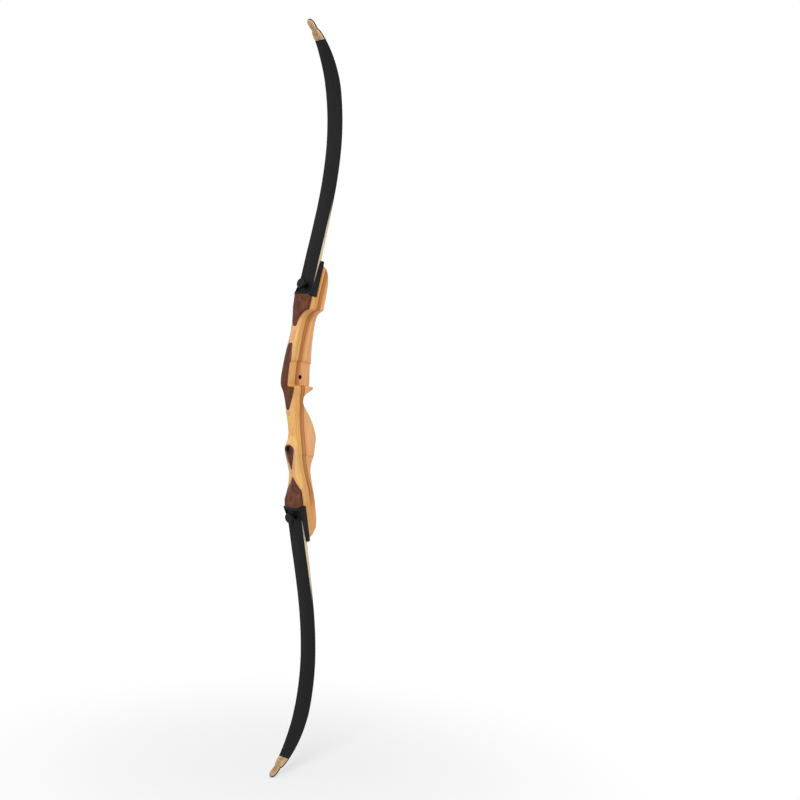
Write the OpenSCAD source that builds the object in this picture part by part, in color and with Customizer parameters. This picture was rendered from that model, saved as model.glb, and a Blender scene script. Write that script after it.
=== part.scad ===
// Take-down recurve bow, right handed, unstrung.
// +Z runs up the bow, +Y points to the archer (belly side), -Y to the target (back side),
// and the sight window is on the +X side. The origin is the grip's pivot point, the deepest
// point of the throat, on the bow's centre plane. Millimetres.

/* [Riser] */
// Height of each limb pad's outer end above or below the grip pivot
pad_reach = 305; // [295:1:320]
// How far that end stands to the archer's side of the pivot
pad_y = 20.8; // [17:0.2:23]
// Lean of the limb pads to the archer
pad_angle = 13.5; // [11:0.1:16]
// Length of each limb pad
pad_len = 77; // [74:1:82]
// Width of the riser at the limb pads
pad_w = 43.6; // [39:0.2:46]
// Width of the riser at its fades, between window and pads
fade_w = 46; // [42:0.5:48]
// Width of the riser beside the sight window, from the centre plane to the bow-hand side
window_side = 24; // [21:0.5:26]
// Depth of the upper belly fade, from the pivot
belly_fade = 49; // [44:0.2:51]

/* [Sight window] */
// Height of the crown of the arrow shelf above the pivot
shelf_z = 35; // [30:0.5:40]
// Radius of the shelf's crown
shelf_r = 117; // [90:1:160]
// Length of the sight window above the shelf
window_len = 166; // [150:1:176]
// Place of the window's flat side, from the centre plane
window_x = -1.5; // [-4:0.5:2]
// Place of the deeper rest recess, from the centre plane
rest_x = -5; // [-7:0.5:-4]
// Height of the rest recess above the shelf
rest_h = 53; // [46:1:64]
// Radius of the cove at the top of the window
cove_r = 28; // [20:1:34]
// Reach of the shelf from the centre plane
shelf_w = 17; // [15:0.5:19]

/* [Grip] */
// Width of the grip at the throat
grip_w = 30; // [26:0.5:34]
// Width of the palm swell
palm_w = 35; // [31:0.5:38]
// Depth of the palm swell to the archer's side
palm_y = 43.6; // [40:0.2:47]
// Place of the palm swell's peak below the pivot
palm_z = 82; // [76:1:88]
// Place of the stabilizer boss below the pivot
boss_z = 105; // [100:1:110]
// Height of the stabilizer boss to the target side
boss_y = 31; // [28:0.5:33]
// Place of the ledge under the grip, below the pivot
ledge_z = 116; // [112:1:122]
// Width left between the reliefs under the ledge
ledge_w = 28; // [25:0.5:31]
// Slope of the ledge toward the archer
ledge_slope = 8; // [4:0.5:12]

/* [Laminations] */
// Distance from each limb pad's outer end back to the walnut's glue line
lam_end = 1.5; // [1:0.1:2.5]
// Radius of the curve that every glue line follows round the grip
lam_r = 641; // [560:1:720]
// Height above the pivot at which the glue lines stand straight up
lam_z = 12; // [0:1:24]
// Beyond this distance from there they run on straight, to the pads' ends
lam_bend = 165; // [140:1:200]
// Place of the walnut's glue line at that height
walnut_y = -36.3; // [-37:0.1:-35.5]
// Thickness of the thin beech strip
thin_t = 3; // [2:0.1:4]
// Thickness of the maple strip
maple_t = 5; // [3:0.1:7]
// Thickness of the pale beech strip
beech_t = 12.4; // [8:0.1:15]
// Thickness of the brown strip
brown_t = 12.5; // [9:0.1:15]

/* [Limb pocket] */
// Thickness of the pocket's floor
floor_t = 2.5; // [2:0.1:3.5]
// Thickness of the pocket's side walls
wall_t = 2.2; // [1.6:0.1:3]
// Thickness of the pocket's end wall
end_t = 7; // [5:0.5:8]
// Height of the end wall over the pad
end_h = 15.5; // [14:0.5:18]
// Height of the side walls at their outer end
lip_h = 3.8; // [3:0.2:6]
// Depth of the skirts over the wood's sides
skirt_h = 5.2; // [2:0.1:7]
// Gap between the wood or the limb and what lies beside it
side_gap = 0.3; // [0.2:0.05:0.5]

/* [Limb] */
// Width of the limb
limb_w = 43.4; // [39:0.2:46]
// Length of the limb outside the pad, along its curve
limb_len = 555; // [510:1:600]
// Radius of the set-back just outside the pad
bend_1 = 2400; // [1800:50:4000]
// Length of the set-back
bend_1_len = 90; // [70:1:110]
// Length of the straight stretch after it
straight_len = 60; // [40:1:80]
// Radius of the limb's first, gentle curve
bend_2 = 820; // [650:10:1100]
// Length along that curve
bend_2_len = 100; // [80:1:120]
// Radius of the middle curve
bend_3 = 495; // [420:5:620]
// Length along the middle curve
bend_3_len = 130; // [110:1:150]
// Radius of the recurve
bend_4 = 252; // [210:2:290]
// Length along the recurve
bend_4_len = 110; // [90:1:130]
// Radius of the limb's last stretch, to the tip
bend_5 = 200; // [180:10:500]
// Thickness of each glass face
glass_t = 0.9; // [0.7:0.1:1.4]
// Thickness of the core at the butt
core_butt_t = 3.4; // [2.6:0.1:4.4]
// Thickness of the core at the tip
core_tip_t = 2.4; // [2:0.1:3.2]
// Thickness of the butt wedge
wedge_t = 3.6; // [3:0.1:6]
// Length of the wedge outside the pad
wedge_len = 125; // [90:1:160]

/* [Limb tip] */
// Length of the wooden tip overlay
tip_len = 51.5; // [46:0.5:64]
// Thickness of the tip overlay
tip_t = 3.2; // [2.4:0.1:4.2]
// Width of the limb where the overlay begins
tip_w = 28.5; // [24:0.5:31]
// Width of the shoulders under the string groove
shoulder_w = 21; // [17:0.5:23]
// Width left between the string grooves
groove_w = 13.6; // [10:0.2:16]
// Width of the tip nub
nub_w = 16; // [13:0.5:18]
// Length of the tip nub
nub_len = 26; // [22:1:30]

/* [Limb bolt] */
// Distance of the limb bolt from the pocket's end wall
bolt_t = 15; // [9.5:0.5:18]
// Diameter of the bolt's stud
stud_d = 7.9; // [6:0.1:9]
// Length of stud below the pad's plane
stud_reach = 25; // [18:0.5:28]
// Diameter of the knob's head
knob_d = 22.5; // [20:0.5:23]
// Thickness of the knob's head
knob_h = 8; // [6:0.5:10]
// Diameter of the knob's neck
neck_d = 12.6; // [11:0.2:15]
// Length of the knob's neck
neck_h = 8.5; // [6:0.5:12]
// Number of grip flutes round the knob
knob_flutes = 14; // [8:1:18]
// Diameter of the washer
washer_d = 18; // [15:0.5:20]
// Thickness of the washer
washer_t = 1.6; // [1:0.1:2.4]
// Diameter of the threaded insert
insert_d = 12; // [11:0.1:13]
// Diameter of the insert's flange
flange_d = 14.6; // [13.6:0.1:17]
// Thickness of the insert's flange
flange_t = 2; // [1.2:0.1:3]
// Length of the insert's sleeve
sleeve_len = 21; // [14:0.5:23]

/* [Locating pin] */
// Distance of the locating pin from the pad's outer end
pin_t = 30; // [24:0.5:36]
// Diameter of the locating pin
pin_d = 6; // [4:0.1:7]
// Height of the pin over the pocket's floor
pin_up = 6.4; // [5:0.1:7]
// Length of the pin in the wood
pin_down = 12; // [8:0.5:16]

/* [Bushings] */
// Outer diameter of the plunger bushing
plunger_od = 9.7; // [9:0.1:11]
// Bore of the plunger and stabilizer threads
thread_bore = 6.9; // [6:0.1:7.4]
// Height of the plunger hole above the shelf
plunger_up = 17.5; // [14:0.5:22]
// Outer diameter of the stabilizer bushing
stabil_od = 12; // [11:0.1:14]
// Length of the stabilizer bushing
stabil_len = 24; // [18:0.5:28]
// Outer diameter of the sight bushings
sight_od = 7; // [6.2:0.1:8]
// Bore of the sight bushings
sight_bore = 3.9; // [3:0.1:4.6]
// Distance between the two sight bushings
sight_gap = 33.3; // [28:0.1:40]
// Length of the sight bushings
sight_len = 12; // [8:0.5:15]

/* [Pocket screws] */
// Diameter of the pocket screws
screw_d = 3.5; // [2.8:0.1:4.2]
// Length of the pocket screws
screw_len = 15; // [10:0.5:18]
// Distance of the pocket screws from the centre plane
screw_x = 11; // [9:0.5:14]

/* [Hidden] */

$fn = 64;
// More than any width of the bow, for cuts that go right through
far = 120;
// Clearance round a turning or sliding pin
run_gap = 0.08;
// Clearance round the bolt where it only passes through
pass_gap = 0.4;
// Clearance between the pocket's floor and the limb, the limb and the washer, and the washer and the knob
rest_gap = 0.04;
// Step along the riser and along the limbs, from one cross-section to the next
riser_step = 10;
limb_step = 14;
// Points on each rounded corner of the riser's cross-section
corner_pts = 5;

window_top = shelf_z + window_len;
// The throat's underside of the shelf starts this far below the shelf's crown
shelf_lip = 9;
// The crown's apex lies this far to the target side of the pivot
crown_y = -7;
// The riser's blunt ends stop short of the pads' outer ends
end_back = 2.5;

// The upper fade starts here, clear of the window
upper_fade = max(window_top + 8, pad_reach - pad_len - 12);
lower_fade = -pad_reach + pad_len + 12;

// Side outline of the riser. Each row is a height and the depth there.
belly_keys = [
    [-pad_reach + end_back, pad_y + 5],
    [-pad_reach + 7, pad_y + 14],
    [-pad_reach + 18, pad_y + 23.6],
    [-pad_reach + 30, pad_y + 29],
    [-pad_reach + 43, belly_fade + 0.6],
    [-pad_reach + 64, belly_fade - 2.2],
    [-pad_reach + 95, belly_fade - 9.6],
    [-pad_reach + 125, belly_fade - 18],
    [-ledge_z - 34, 27.4],
    [-ledge_z - 12, 34],
    [-ledge_z - 2, 38.2],
    [-palm_z - 15, palm_y - 2.4],
    [-palm_z, palm_y],
    [-palm_z + 20, palm_y - 5.2],
    [-42, 28.4],
    [-22, 14],
    [-10, 4.4],
    [0, 0],
    [shelf_z - 27, 1.2],
    [shelf_z - 18, 9.5],
    [shelf_z - 12, 20.5],
    [shelf_z - shelf_lip, 27],
    [shelf_z - 4, 29.6],
    [shelf_z + 6, 31],
    [shelf_z + 66, 29.4],
    [window_top - 60, 31.6],
    [window_top - 26, 36.4],
    [window_top + 4, 38.6],
    [pad_reach - 70, belly_fade - 3.4],
    [pad_reach - 42, belly_fade],
    [pad_reach - 29, belly_fade - 1.4],
    [pad_reach - 16, pad_y + 22.4],
    [pad_reach - 7, pad_y + 12.8],
    [pad_reach - end_back, pad_y + 5]
];
back_keys = [
    [-pad_reach, -10],
    [-pad_reach + pad_len, -13],
    [-pad_reach + pad_len + 18, -13.2],
    [-pad_reach + 115, -11.2],
    [-pad_reach + 135, -11.3],
    [-pad_reach + 147, -13],
    [-boss_z - 45, -16],
    [-boss_z - 31, -21.4],
    [-boss_z - 15, -boss_y + 3.2],
    [-boss_z - 3, -boss_y],
    [-boss_z + 8, -boss_y + 3.4],
    [-boss_z + 18, -23.4],
    [-boss_z + 30, -22.2],
    [-52, -26.2],
    [-22, -35],
    [0, -38.8],
    [shelf_z - 20, -41.6],
    [shelf_z - 5, -42.8],
    [shelf_z + 8, -42.4],
    [shelf_z + 45, -36.8],
    [shelf_z + 86, -27.4],
    [shelf_z + 105, -22],
    [window_top - 46, -19],
    [window_top - 24, -17.6],
    [window_top - 8, -18],
    [upper_fade + 2, -16.2],
    [pad_reach, -11]
];
// Half width to the bow-hand side and to the window side
bow_hand_keys = [
    [-pad_reach + pad_len - 2, pad_w / 2],
    [lower_fade, fade_w / 2],
    [-ledge_z - 24, fade_w / 2 - 1],
    [-ledge_z - 8, palm_w / 2 + 2.6],
    [-palm_z, palm_w / 2],
    [-50, grip_w / 2 + 0.8],
    [-20, grip_w / 2],
    [shelf_z - 24, grip_w / 2 + 0.4],
    [shelf_z - 14, window_side - 6],
    [shelf_z - 2, window_side - 0.8],
    [shelf_z + 12, window_side],
    [window_top - 50, window_side + 1.4],
    [window_top, fade_w / 2 + 0.5],
    [upper_fade, fade_w / 2],
    [pad_reach - pad_len + 2, pad_w / 2]
];
window_side_keys = [
    [-pad_reach + pad_len - 2, pad_w / 2],
    [lower_fade, fade_w / 2],
    [-ledge_z - 24, fade_w / 2 - 1],
    [-ledge_z - 8, palm_w / 2 + 1],
    [-palm_z, palm_w / 2],
    [-50, grip_w / 2 + 0.8],
    [-20, grip_w / 2],
    [shelf_z - 24, grip_w / 2 + 0.4],
    [shelf_z - 9, shelf_w],
    [shelf_z - 5, shelf_w - 0.3],
    [shelf_z, shelf_w - 3.5],
    [shelf_z + 12, shelf_w - 5],
    [window_top - 50, shelf_w - 2],
    [window_top - 8, fade_w / 2],
    [upper_fade, fade_w / 2],
    [pad_reach - pad_len + 2, pad_w / 2]
];
// Depth of the rounded corners at the belly and at the back
belly_round_keys = [
    [-pad_reach, 2.5],
    [-pad_reach + 60, 5],
    [-ledge_z - 40, 7],
    [-ledge_z + 4, 8],
    [-palm_z, 10],
    [-50, 10],
    [0, 9],
    [shelf_z - 16, 11],
    [shelf_z - 3, 13],
    [shelf_z + 12, 6],
    [window_top, 6],
    [pad_reach - 60, 5],
    [pad_reach, 2.5]
];
back_round_keys = [
    [-pad_reach, 3],
    [lower_fade, 5],
    [-pad_reach + 125, 9],
    [-boss_z - 14, 9.5],
    [-boss_z, 11.5],
    [-boss_z + 20, 12],
    [-20, 12],
    [shelf_z - 14, 10],
    [shelf_z + 8, 6],
    [window_top - 60, 5.5],
    [window_top, 6],
    [pad_reach - 76, 5],
    [pad_reach, 3]
];
// How far those corners spread over the half width: 0 is a plain round, 1 reaches the middle
belly_spread_keys = [
    [-ledge_z - 34, 0.2],
    [-palm_z, 0.75],
    [-10, 0.75],
    [shelf_z - 12, 0.2]
];
back_spread_keys = [
    [lower_fade, 0.2],
    [-pad_reach + 125, 1],
    [-10, 1],
    [shelf_z - 6, 0.5],
    [window_top - 60, 0.8],
    [window_top - 20, 0.8],
    [window_top + 5, 0.2]
];
// How far the rounded back turns into a plain ridge, from 0 to 1
back_ridge_keys = [
    [-pad_reach + pad_len + 10, 0],
    [-pad_reach + 105, 1],
    [-boss_z - 14, 1],
    [-boss_z + 2, 0]
];

// Smooth curve through the keys that never swings past them
function secant(k, i) = (k[i + 1][1] - k[i][1]) / (k[i + 1][0] - k[i][0]);
function slope(k, i) =
    i == 0 ? secant(k, 0) :
    i == len(k) - 1 ? secant(k, i - 1) :
    let (a = secant(k, i - 1), b = secant(k, i)) a * b <= 0 ? 0 : 2 * a * b / (a + b);
function blend_at(k, i, z) =
    let (h = k[i + 1][0] - k[i][0], u = (z - k[i][0]) / h)
    k[i][1] * (1 + 2 * u) * (1 - u) * (1 - u)
    + slope(k, i) * h * u * (1 - u) * (1 - u)
    + k[i + 1][1] * u * u * (3 - 2 * u)
    - slope(k, i + 1) * h * u * u * (1 - u);
function along(k, z) =
    z <= k[0][0] ? k[0][1] :
    z >= k[len(k) - 1][0] ? k[len(k) - 1][1] :
    let (i = [for (j = [0:len(k) - 2]) if (k[j + 1][0] > z) j][0]) blend_at(k, i, z);

// Evenly spaced values between marks, with every mark kept
function spaced(marks, step) = concat(
    [for (i = [0:len(marks) - 2])
        let (n = max(1, ceil((marks[i + 1] - marks[i]) / step)))
        for (j = [0:n - 1]) marks[i] + (marks[i + 1] - marks[i]) * j / n],
    [marks[len(marks) - 1]]
);

// One rounded cross-section of the riser. Its corners are quarter rounds, drawn in to their chords by ridge.
function corner(cx, cy, rx, ry, start, z, ridge = 0) =
    [for (i = [0:corner_pts])
        let (
            u = i / corner_pts,
            a = start + 90 * u,
            cu = cos(start) * (1 - u) + cos(start + 90) * u,
            su = sin(start) * (1 - u) + sin(start + 90) * u
        )
        [cx + rx * (cos(a) + (cu - cos(a)) * ridge), cy + ry * (sin(a) + (su - sin(a)) * ridge), z]];
function section(z) =
    let (
        yb = along(back_keys, z),
        yf = along(belly_keys, z),
        wl = along(bow_hand_keys, z),
        wr = along(window_side_keys, z),
        most = min(wl, wr) - 0.6,
        rf = along(belly_round_keys, z),
        rb = min(along(back_round_keys, z), yf - yb - rf - 1),
        sf = min(most, max(rf, along(belly_spread_keys, z) * most)),
        sb = min(most, max(rb, along(back_spread_keys, z) * most)),
        ridge = along(back_ridge_keys, z)
    )
    concat(
        corner(wr - sf, yf - rf, sf, rf, 0, z),
        corner(-wl + sf, yf - rf, sf, rf, 90, z),
        corner(-wl + sb, yb + rb, sb, rb, 180, z, ridge),
        corner(wr - sb, yb + rb, sb, rb, 270, z, ridge)
    );

// Solid through a list of closed rings with the same number of points
module skin(rings) {
    n = len(rings[0]);
    m = len(rings);
    points = [for (r = rings) for (p = r) p];
    sides = [for (i = [0:m - 2]) for (j = [0:n - 1])
        let (k = (j + 1) % n, a = i * n + j, b = i * n + k, c = a + n, d = b + n)
        for (f = [[a, c, b], [b, c, d]]) f];
    polyhedron(points, concat(
        sides,
        [[for (j = [0:n - 1]) j]],
        [[for (j = [n - 1:-1:0]) (m - 1) * n + j]]
    ));
}

riser_marks = [
    -pad_reach + end_back, -pad_reach + 43, lower_fade, -ledge_z - 8, -boss_z, -palm_z,
    -50, -10, 0, shelf_z - 27, shelf_z - 18, shelf_z - 12, shelf_z - shelf_lip, shelf_z - 4, shelf_z,
    shelf_z + 12, window_top - 50, window_top, upper_fade, pad_reach - 42, pad_reach - end_back
];

module riser_blank() {
    skin([for (z = spaced(riser_marks, riser_step)) section(z)]);
}

// Spreads its flat children over a width, with their X along Y and their Y along Z
module across(w) {
    rotate([90, 0, 90]) linear_extrude(height = w, center = true) children();
}

// Puts its children on a limb pad: X stays, Y runs outboard along the limb, Z stands off the pad
module at_pad(side) {
    mirror([0, 0, side < 0 ? 1 : 0])
        translate([0, pad_y, pad_reach])
            rotate([90 - pad_angle, 0, 0])
                children();
}

// What is cut from the riser for the arrow and the line of sight
module sight_window() {
    difference() {
        union() {
            translate([window_x, -far, 0]) cube([far, 2 * far, window_top - cove_r]);
            translate([window_x + cove_r, 0, window_top - cove_r]) rotate([90, 0, 0])
                cylinder(h = 2 * far, r = cove_r, center = true, $fn = 96);
            translate([window_x + cove_r, -far, 0]) cube([far, 2 * far, window_top]);
            intersection() {
                translate([rest_x, -far, 0]) cube([far, 2 * far, shelf_z + rest_h + 1]);
                crown(rest_h);
            }
        }
        crown(0);
    }
}

// Everything under the crowned surface that lies this far over the shelf
module crown(up) {
    translate([0, crown_y, shelf_z + up - shelf_r]) rotate([0, 90, 0])
        cylinder(h = 2 * far, r = shelf_r, center = true, $fn = 128);
}

// Relief under the grip's ledge, on both sides
module ledge_relief() {
    relief_r = 324;
    for (sx = [-1, 1])
        translate([0, 0, -ledge_z]) rotate([-ledge_slope, 0, 0])
            intersection() {
                translate([sx * (ledge_w / 2 + relief_r), 0, 0]) rotate([90, 0, 0])
                    cylinder(h = 2 * far, r = relief_r, center = true, $fn = 128);
                translate([sx > 0 ? 0 : -far, -far, -far]) cube([far, 2 * far, far]);
            }
}

seat_n = -floor_t - run_gap - sleeve_len;
// Distance of the limb bolt from the pad's outer end
bolt_row = pad_len - end_t - bolt_t;

// Holes of the limb bolt's insert, the locating pin and the pocket screws, on one pad
module pad_holes() {
    translate([0, -bolt_row, seat_n]) cylinder(h = far / 2, d = insert_d);
    translate([0, -bolt_row, seat_n - far / 2]) cylinder(h = far / 2, d = flange_d);
    translate([0, -pin_t, -floor_t - pin_down]) cylinder(h = far / 2, d = pin_d);
    for (sx = [-1, 1])
        translate([sx * screw_x, -screw_row, -screw_len]) cylinder(h = far / 2, d = screw_d);
}

// Everything that is cut from the laminated blank
module riser_cuts() {
    sight_window();
    ledge_relief();
    for (side = [-1, 1]) at_pad(side) {
        translate([-far / 2, -pad_len, -floor_t]) cube([far, 2 * pad_len, far]);
        pad_holes();
    }
    plunger_place() cylinder(h = far, d = plunger_od, center = true);
    stabil_place() cylinder(h = 2 * stabil_len, d = stabil_od, center = true);
    sight_places() translate([0, 0, -sight_len]) cylinder(h = far, d = sight_od);
}

plunger_y = 1;
plunger_z = shelf_z + plunger_up;
module plunger_place() {
    translate([0, plunger_y, plunger_z]) rotate([0, 90, 0]) children();
}
// The bushing's mouth, at the top of the boss
stabil_z = -boss_z;
module stabil_place() {
    translate([0, -boss_y + 0.9, stabil_z]) rotate([90, 0, 0]) children();
}
sight_y = -6;
sight_z = shelf_z + 96;
// The mouths of the two sight bushings, on the bow-hand side
module sight_places() {
    for (up = [-0.5, 0.5])
        translate([-window_side + 0.3, sight_y, sight_z + up * sight_gap]) rotate([0, -90, 0]) children();
}

// How far the glue lines rise toward the archer round the bend, and in all
bend_rise = lam_bend * lam_bend / (2 * lam_r);
full_rise = pad_y - lam_end - walnut_y;
// Rise at this distance from their deepest point
function glue_bow(d) = d < lam_bend ? d * d / (2 * lam_r) :
    bend_rise + (full_rise - bend_rise) * (d - lam_bend) / (pad_reach - lam_z - lam_bend);
function glue_line(y) =
    [for (z = spaced([-pad_reach, lam_z, pad_reach], 26)) [y + glue_bow(abs(z - lam_z)), z]];
function turned(list) = [for (i = [len(list) - 1:-1:0]) list[i]];
module lamination(y0, y1) {
    difference() {
        intersection() {
            riser_blank();
            across(far) polygon(concat(glue_line(y0), turned(glue_line(y1))));
        }
        riser_cuts();
    }
}
thin_y = walnut_y + thin_t;
maple_y = thin_y + maple_t;
beech_y = maple_y + beech_t;
brown_y = beech_y + brown_t;

module riser_walnut_back() {
    color("saddlebrown") lamination(walnut_y - far, walnut_y);
}
module riser_thin_beech() {
    color("burlywood") lamination(walnut_y, thin_y);
}
module riser_maple() {
    color("khaki") lamination(thin_y, maple_y);
}
module riser_beech_core() {
    color("burlywood") lamination(maple_y, beech_y);
}
module riser_brown() {
    color("peru") lamination(beech_y, brown_y);
}
module riser_belly_beech() {
    color("tan") lamination(brown_y, brown_y + far);
}

module plunger_bushing() {
    color("dimgray") intersection() {
        plunger_place() difference() {
            cylinder(h = far, d = plunger_od, center = true);
            cylinder(h = far + 1, d = thread_bore, center = true);
        }
        translate([-window_side + 0.3, -far, 0]) cube([window_side - 0.3 + rest_x, 2 * far, far]);
    }
}
module stabilizer_bushing() {
    color("dimgray") stabil_place() difference() {
        translate([0, 0, -stabil_len]) cylinder(h = stabil_len, d = stabil_od);
        translate([0, 0, -stabil_len + 3]) cylinder(h = stabil_len, d = thread_bore);
    }
}
module sight_bushings() {
    color("goldenrod") sight_places() translate([0, 0, -sight_len]) difference() {
        cylinder(h = sight_len, d = sight_od);
        translate([0, 0, -1]) cylinder(h = sight_len + 2, d = sight_bore);
    }
}

// Side outline of the pocket's walls: distance outboard, and height off the pad
lip_out = 4.2;
wall_outline = [
    [-pad_len, -floor_t - skirt_h],
    [lip_out - 2.8, -floor_t - skirt_h],
    [lip_out - 1.2, -floor_t - skirt_h + 0.5],
    [lip_out - 0.2, -floor_t - skirt_h + 1.9],
    [lip_out, lip_h - 5.2],
    [lip_out - 0.6, lip_h - 2.6],
    [lip_out - 2, lip_h - 0.8],
    [lip_out - 4.4, lip_h],
    [-22, lip_h + 2],
    [-46, lip_h + 4.1],
    [-52, lip_h + 5.1],
    [-pad_len, end_h]
];
inner_w = max(pad_w, limb_w) + 2 * side_gap;
module limb_pocket() {
    color("#2b2b2d") difference() {
        across(inner_w + 2 * wall_t) polygon(wall_outline);
        translate([-inner_w / 2, -pad_len + end_t, 0]) cube([inner_w, far, far]);
        translate([-inner_w / 2, -pad_len - 1, -far - floor_t]) cube([inner_w, far, far]);
        translate([0, -bolt_row, -far / 2]) cylinder(h = far, d = stud_d + 2 * pass_gap);
        translate([0, -pin_t, -far / 2]) cylinder(h = far, d = pin_d);
        for (sx = [-1, 1]) translate([sx * screw_x, -screw_row, 0]) {
            translate([0, 0, -far / 2]) cylinder(h = far, d = screw_d);
            translate([0, 0, -screw_head_h]) cylinder(h = screw_head_h + 0.01, d1 = screw_d, d2 = screw_head_d);
        }
    }
}
screw_row = 14;
screw_head_d = 2 * screw_d;
screw_head_h = 1.8;
module pocket_screws() {
    color("silver") for (sx = [-1, 1]) translate([sx * screw_x, -screw_row, 0]) {
        translate([0, 0, -screw_head_h]) cylinder(h = screw_head_h, d1 = screw_d, d2 = screw_head_d);
        translate([0, 0, -screw_len]) cylinder(h = screw_len - screw_head_h, d = screw_d);
    }
}
module locating_pin() {
    color("silver") translate([0, -pin_t, -floor_t - pin_down]) cylinder(h = floor_t + pin_down + pin_up, d = pin_d);
}
module bolt_insert() {
    color("goldenrod") translate([0, -bolt_row, seat_n]) difference() {
        union() {
            cylinder(h = sleeve_len, d = insert_d);
            translate([0, 0, -flange_t]) cylinder(h = flange_t, d = flange_d);
        }
        translate([0, 0, -flange_t - 1]) cylinder(h = sleeve_len + flange_t + 2, d = stud_d + 2 * run_gap);
    }
}

// The limb's belly face as straights and arcs: length and radius of each, 0 for a straight
bends = [
    [bend_1_len, bend_1],
    [straight_len, 0],
    [bend_2_len, bend_2],
    [bend_3_len, bend_3],
    [bend_4_len, bend_4],
    [far * 10, bend_5]
];
// A place on that face is its depth, its height, and its lean to the archer. It is straight on the pad.
function advance(p, run, r) =
    r == 0 ? [p[0] + run * sin(p[2]), p[1] + run * cos(p[2]), p[2]] :
    let (a = p[2] - run / r * 180 / PI) [p[0] + r * (cos(a) - cos(p[2])), p[1] + r * (sin(p[2]) - sin(a)), a];
function limb_at(s, i = 0, p = [pad_y, pad_reach, pad_angle]) =
    s <= bends[i][0] ? advance(p, s, s < 0 ? 0 : bends[i][1]) :
    limb_at(s - bends[i][0], i + 1, advance(p, bends[i][0], bends[i][1]));

butt = -pad_len + end_t + side_gap;
// The wedge keeps its full thickness for this far outside the pad
wedge_full = 20;
function wedge_at(s) = wedge_t * min(1, max(0, (wedge_len - s) / (wedge_len - wedge_full)));
function core_at(s) = core_butt_t + (core_tip_t - core_butt_t) * min(1, max(0, s / (limb_len - tip_len)));
function heights(s) =
    let (a = rest_gap + glass_t, b = a + wedge_at(s), c = b + core_at(s)) [rest_gap, a, b, c, c + glass_t];
function tip_back(s) = heights(s)[3] + min(tip_t, glass_t + (s - limb_len + tip_len) * 0.25);

// Half width of the limb along its length, with the shoulders, string grooves and nub
groove_s = limb_len - nub_len;
// Where the limb begins to narrow, and two places on the way to the overlay
taper_s = limb_len - tip_len - 102;
taper_mid_s = limb_len - tip_len - 42;
taper_end_s = limb_len - tip_len - 18;
width_keys = [
    [taper_s, limb_w / 2],
    [taper_mid_s, limb_w / 2 - 3],
    [taper_end_s, limb_w / 2 - 5.4],
    [limb_len - tip_len, tip_w / 2],
    [groove_s - 5, shoulder_w / 2],
    [groove_s - 1.5, groove_w / 2 + 0.6],
    [groove_s, groove_w / 2],
    [groove_s + 1.5, groove_w / 2 + 0.6],
    [groove_s + 7, nub_w / 2 - 0.2],
    [limb_len - nub_len / 2 + 2, nub_w / 2],
    [limb_len - 5, nub_w / 2 - 1.4],
    [limb_len - 1.5, nub_w / 2 - 4],
    [limb_len, nub_w / 2 - 5.4]
];
limb_marks = [
    butt, 0, wedge_full, wedge_len, bend_1_len + straight_len, bend_1_len + straight_len + bend_2_len,
    taper_s, taper_mid_s, taper_end_s, limb_len - tip_len,
    groove_s - 5, groove_s - 3.2, groove_s - 1.5, groove_s, groove_s + 1.5, groove_s + 3.5, groove_s + 7,
    limb_len - nub_len / 2 + 2, limb_len - 5, limb_len - 3, limb_len - 1.5, limb_len
];

function off_face(s, h) = let (p = limb_at(s)) [p[0] - h * cos(p[2]), p[1] + h * sin(p[2])];
function limb_ring(s, h0, h1) =
    let (w = along(width_keys, s), lo = off_face(s, h0), hi = off_face(s, h1))
    [[-w, lo[0], lo[1]], [-w, hi[0], hi[1]], [w, hi[0], hi[1]], [w, lo[0], lo[1]]];
function stations(from, to) = let (all = spaced(limb_marks, limb_step))
    concat([from], [for (s = all) if (s > from + 0.2 && s < to - 0.2) s], [to]);

module placed_limb(side) {
    mirror([0, 0, side < 0 ? 1 : 0]) children();
}
// One layer of the limb, between two of its heights, with the bolt's and the pin's holes
module limb_layer(side, from, to, lower, upper) {
    difference() {
        placed_limb(side) skin([for (s = stations(from, to)) limb_ring(s, heights(s)[lower], heights(s)[upper])]);
        at_pad(side) {
            translate([0, -bolt_row, -far / 2]) cylinder(h = far, d = stud_d + 2 * pass_gap);
            translate([0, -pin_t, -1]) cylinder(h = pin_up + 1 + side_gap, d = pin_d + 2 * run_gap);
        }
    }
}
module limb_core(side) {
    color("wheat") limb_layer(side, butt, limb_len, 2, 3);
}
module limb_wedge(side) {
    color("wheat") limb_layer(side, butt, wedge_len - 4, 1, 2);
}
module back_glass(side) {
    color("#1e1e20") limb_layer(side, butt, limb_len - tip_len, 3, 4);
}
module belly_glass(side) {
    color("#1e1e20") limb_layer(side, butt, limb_len, 0, 1);
}
module tip_overlay(side) {
    color("tan") placed_limb(side)
        skin([for (s = stations(limb_len - tip_len, limb_len)) limb_ring(s, heights(s)[3], tip_back(s))]);
}

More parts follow.
